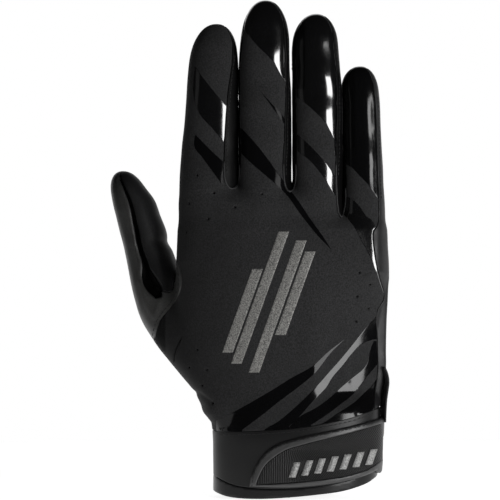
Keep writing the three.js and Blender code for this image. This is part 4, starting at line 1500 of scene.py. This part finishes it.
def strap_relief(p, n):
    """The strap dips under its insert, which leaves a raised welt round it."""
    xz = flat(p)
    gap = away(insert_outline, xz)
    inside = np.where(within(insert_outline, xz), gap, -gap)
    outside, width = WELT_WALL
    return np.where(p[:, 1] < WELT_Y, -WELT * smoothstep((inside + outside) / width), 0)


def cuff_share(p):
    """The band's seam with the binding is almost flush."""
    return np.where(p[:, 2] < BINDING_Z, FLUSH, 1.0)


def hem_share(p):
    """The fold of the hem is rounder at its lower edge than at its seam."""
    return np.where(away(binding_line, flat(p), closed=False) < HEM_SEAM, FLUSH, 1.0)


band = shell(cuff, above_binding & ~above_cuff, share=cuff_share)
add_mesh("cuff_sleeve", band, neoprene, ("cuff_band",))
fold = shell(cuff, above_hem & ~above_binding, HEM_FACE, HEM_WALL, HEM_ROLL, share=hem_share)
add_mesh("hem_fold", fold, binding, ("hem_binding",))
strap = shell(cuff, on_strap, STRAP_FACE, STRAP_WALL, STRAP_ROLL, strap_relief)
add_mesh("wrist_strap", strap, strap_rubber, ("closure_strap",))
ribs = shell(cuff, on_insert, INSERT_FACE, INSERT_WALL, INSERT_ROLL, clear=INSERT_CLEAR)
add_mesh("rib_panel", ribs, ribbed, ("strap_insert",))


# Threads, cords, marks and the pull loop

def sweep(line, first, second, section):
    """A closed bar along a line: the section's two numbers go along the first and second way."""
    count = len(section)
    rings = [p + a[None] * section[:, [0]] + b[None] * section[:, [1]]
             for p, a, b in zip(line, first, second)]
    points = np.concatenate(rings + [line[:1], line[-1:]])
    triangles = []
    for r in range(len(line) - 1):
        for i in range(count):
            a = r * count + i
            b = r * count + (i + 1) % count
            triangles += [(a, b, b + count), (a, b + count, a + count)]
    end = (len(line) - 1) * count
    for i in range(count):
        j = (i + 1) % count
        triangles += [(len(points) - 2, j, i), (len(points) - 1, end + i, end + j)]
    triangles = np.array(triangles)
    a, b, c = (points[triangles[:, k]] for k in range(3))
    volume = (a * np.cross(b, c)).sum()
    return points, triangles if volume > 0 else triangles[:, ::-1]


def round_section(width, height, sides, power=2.0):
    """An oval, which gets squarer with a higher power."""
    angle = np.arange(sides) * 2 * math.pi / sides
    ways = np.stack([np.cos(angle), np.sin(angle)], axis=1)
    return np.sign(ways) * np.abs(ways) ** (2 / power) * [width / 2, height / 2]


def laid(field, line, lift=0.0, relief=no_relief, rounds=30):
    """Points of an X-Z line put on the side of a surface that faces the viewer."""

    def place(y):
        return np.stack([line[:, 0], y, line[:, 1]], axis=1)

    near = np.full(len(line), float(VIEWER_Y))
    far = np.full(len(line), float(INNER_Y))
    met = field(place(far)) < 0
    for _ in range(rounds):
        middle = (near + far) / 2
        inside = field(place(middle)) < 0
        far = np.where(inside, middle, far)
        near = np.where(inside, near, middle)
    points = place(far)
    normals = unit(gradient(field, points))
    points = points + normals * (relief(points, normals) + lift)[:, None]
    return points[met], normals[met]


def joined(parts):
    """Several closed meshes as one."""
    starts = np.cumsum([0] + [len(points) for points, _ in parts])
    triangles = [part[1] + start for part, start in zip(parts, starts)]
    return np.concatenate([points for points, _ in parts]), np.concatenate(triangles)


def beside(line, by):
    """The line moved sideways: to its left for a positive distance."""
    run = unit(np.gradient(line, axis=0))
    return line + np.stack([-run[:, 1], run[:, 0]], axis=1) * by


def spaced(line, step):
    """Points at even steps along a line."""
    run = np.concatenate([[0], np.cumsum(np.linalg.norm(np.diff(line, axis=0), axis=1))])
    at = np.arange(0, run[-1], step)
    return np.stack([np.interp(at, run, line[:, k]) for k in range(line.shape[1])], axis=1)


def stitches(field, line, relief=no_relief, lift=STITCH_LIFT, pitch=STITCH_PITCH):
    """A row of stitches along an X-Z line on the viewer's side."""
    points, normals = laid(field, spaced(line, pitch / 4), lift, relief)
    section = round_section(*THREAD_SIZE, THREAD_SIDES)
    made = []
    for start, next_start, n in zip(points[:-4:4], points[4::4], normals[::4]):
        run = (next_start - start) * STITCH_SHARE
        length = np.linalg.norm(run)
        if SHORTEST_STITCH <= length <= LONGEST_STITCH * pitch:
            way = np.array([start + run * t + n * h for t, h in zip(STITCH_PLACES, STITCH_RISE)])
            side = np.cross(run / length, n)
            made.append(sweep(way, np.tile(side, (len(way), 1)), np.tile(n, (len(way), 1)), section))
    return made


cuff_run = beside(cuff_line[np.abs(cuff_line[:, 0]) < CUFF_STITCHES_X], CUFF_STITCHES)
rows = stitches(cuff_field, cuff_run)
thumb_run = beside(curve(THUMB_STITCH_LINE, step=1.0, closed=False), THUMB_STITCHES)
rows += stitches(hand_field, thumb_run, hand_relief)
for name in FINGERS:
    for column, distance in ((1, FINGER_STITCHES), (2, -FINGER_STITCHES)):
        if column == 1 and name in ("index", "middle"):
            continue
        run = curve([(row[column], row[0]) for row in SEAMS[name]], step=1.0, closed=False)
        rows += stitches(hand_field, beside(run, distance), hand_relief, pitch=FINE_PITCH)
add_mesh("seam_stitches", joined(rows), thread)
welt_run = beside(curve(STRAP_STITCH_LINE, step=1.0, closed=False), STRAP_STITCHES)
rows = stitches(cuff_field, welt_run, strap_relief, STRAP_STITCH_FACE, FINE_PITCH)
add_mesh("strap_stitches", joined(rows), thread)

cords = []
section = round_section(CORD, CORD, CORD_SIDES)
for start, end, lowest in zip(FINGERS, FINGERS[1:], GUSSET_ENDS):
    run = curve(gusset_end(start, end, lowest, CORD_TAIL), step=1.0, closed=False)
    points, normals = laid(hand_field, run, CORD_LIFT, hand_relief)
    way = unit(np.gradient(points, axis=0))
    cords.append(sweep(points, np.cross(way, normals), normals, section))
add_mesh("crotch_cords", joined(cords), cord_cloth)

marks = []
section = np.array(CORNERS) * [1, MARK_WALL / 2]
for i in range(MARK_COUNT):
    x = MARK_START[0] + i * MARK_PITCH
    z = MARK_START[1] + i * MARK_PITCH * MARK_RISE
    corners = slanted_box(x, z, *MARK_SIZE, MARK_SLANT)
    side = np.linspace(corners[0], corners[3], MARK_ROWS)
    left, normals = laid(cuff_field, side, MARK_FACE)
    right, _ = laid(cuff_field, side + [MARK_SIZE[0], 0], MARK_FACE)
    marks.append(sweep((left + right) / 2, (right - left) / 2, normals, section))
add_mesh("strap_marks", joined(marks), mark_print)

line = curve(LOOP_LINE, step=1.0, closed=False)
run = unit(np.gradient(line, axis=0))
sideways = np.stack([run[:, 1], 0 * run[:, 0], -run[:, 0]], axis=1)
inwards = np.tile([0, 1.0, 0], (len(line), 1))
turn = math.radians(LOOP_TURN)
across = inwards * math.cos(turn) + sideways * math.sin(turn)
thick = sideways * math.cos(turn) - inwards * math.sin(turn)
spine = np.stack([line[:, 0], 0 * line[:, 0], line[:, 1]], axis=1)
tape = sweep(spine, across, thick, round_section(*LOOP_SIZE, LOOP_SIDES, power=4.0))
add_mesh("loop_tape", tape, webbing, ("pull_loop",))


# Lights, world, floor and camera, in metres

CENTRE = Vector((-0.0216, 0, 0.108))
CAMERA = (-0.0216, -1.4, 0.1076)
SENSOR = 36           # millimetres
VIEW_SIZE = 0.23      # width of the picture at the glove
FLOOR_Z = -0.0057
FLOOR_RADIUS = 0.42
FLOOR_SIDES = 96
STUDIO_EDGE = (0.55, 0.85)    # between these places, from front to back, the studio gets bright
STUDIO_LIGHT = (0.01, 1.0)    # how bright it is before and behind them

# Each panel: azimuth from the camera to the right, elevation, distance, size and power
LIGHTS = {
    "panel right": (45, -3, 1.1, (0.51, 0.88), 10.5),
    "panel behind right": (112, -6, 1.1, (0.40, 0.85), 1.4),
    "panel left": (-62, 5, 1.2, (0.42, 0.9), 0.07),
}


def place_in_scene(name, data):
    thing = bpy.data.objects.new(name, data)
    bpy.context.scene.collection.objects.link(thing)
    return thing


for name, (azimuth, elevation, distance, size, power) in LIGHTS.items():
    data = bpy.data.lights.new(name, "AREA")
    data.shape = "RECTANGLE"
    data.size, data.size_y = size
    data.energy = power
    a = math.radians(azimuth)
    e = math.radians(elevation)
    way = Vector((math.sin(a) * math.cos(e), -math.cos(a) * math.cos(e), math.sin(e)))
    light = place_in_scene(name, data)
    light.location = CENTRE + way * distance
    light.rotation_euler = (-way).to_track_quat("-Z", "Y").to_euler()

# The studio is bright behind the glove and dark in front of it, and white in the camera's view
world = bpy.data.worlds.new("studio")
bpy.context.scene.world = world
world.use_nodes = True
graph = Graph(world)
depth = graph.node("ShaderNodeSeparateXYZ", {"Vector": graph.coordinates["Generated"]})["Y"]
studio = graph.ramp(depth, *STUDIO_EDGE, *STUDIO_LIGHT)
seen = graph.node("ShaderNodeLightPath")["Is Camera Ray"]
sky = world.node_tree.nodes["Background"]
sky.inputs["Color"].default_value = (1, 1, 1, 1)
graph.give(sky.inputs["Strength"], graph.node("ShaderNodeMix", {0: seen, 2: studio, 3: 1.0})[0])

floor_mesh = bpy.data.meshes.new("floor")
angles = [2 * math.pi * i / FLOOR_SIDES for i in range(FLOOR_SIDES)]
edge = [(FLOOR_RADIUS * math.cos(a), FLOOR_RADIUS * math.sin(a), FLOOR_Z) for a in angles]
floor_mesh.from_pydata(edge, [], [list(range(FLOOR_SIDES))])
floor_material, floor_shader = plain("floor", (0.9, 0.9, 0.9), 0.9, 0.1)
floor_shader.inputs["Emission Color"].default_value = (1, 1, 1, 1)
floor_shader.inputs["Emission Strength"].default_value = 0.88
floor_mesh.materials.append(floor_material)
place_in_scene("floor", floor_mesh)

camera_data = bpy.data.cameras.new("camera")
camera_data.sensor_width = SENSOR
camera_data.lens = SENSOR * -CAMERA[1] / VIEW_SIZE
camera = place_in_scene("camera", camera_data)
camera.location = CAMERA
camera.rotation_euler = (math.pi / 2, 0, 0)
bpy.context.scene.camera = camera
bpy.context.scene.view_settings.view_transform = "Standard"
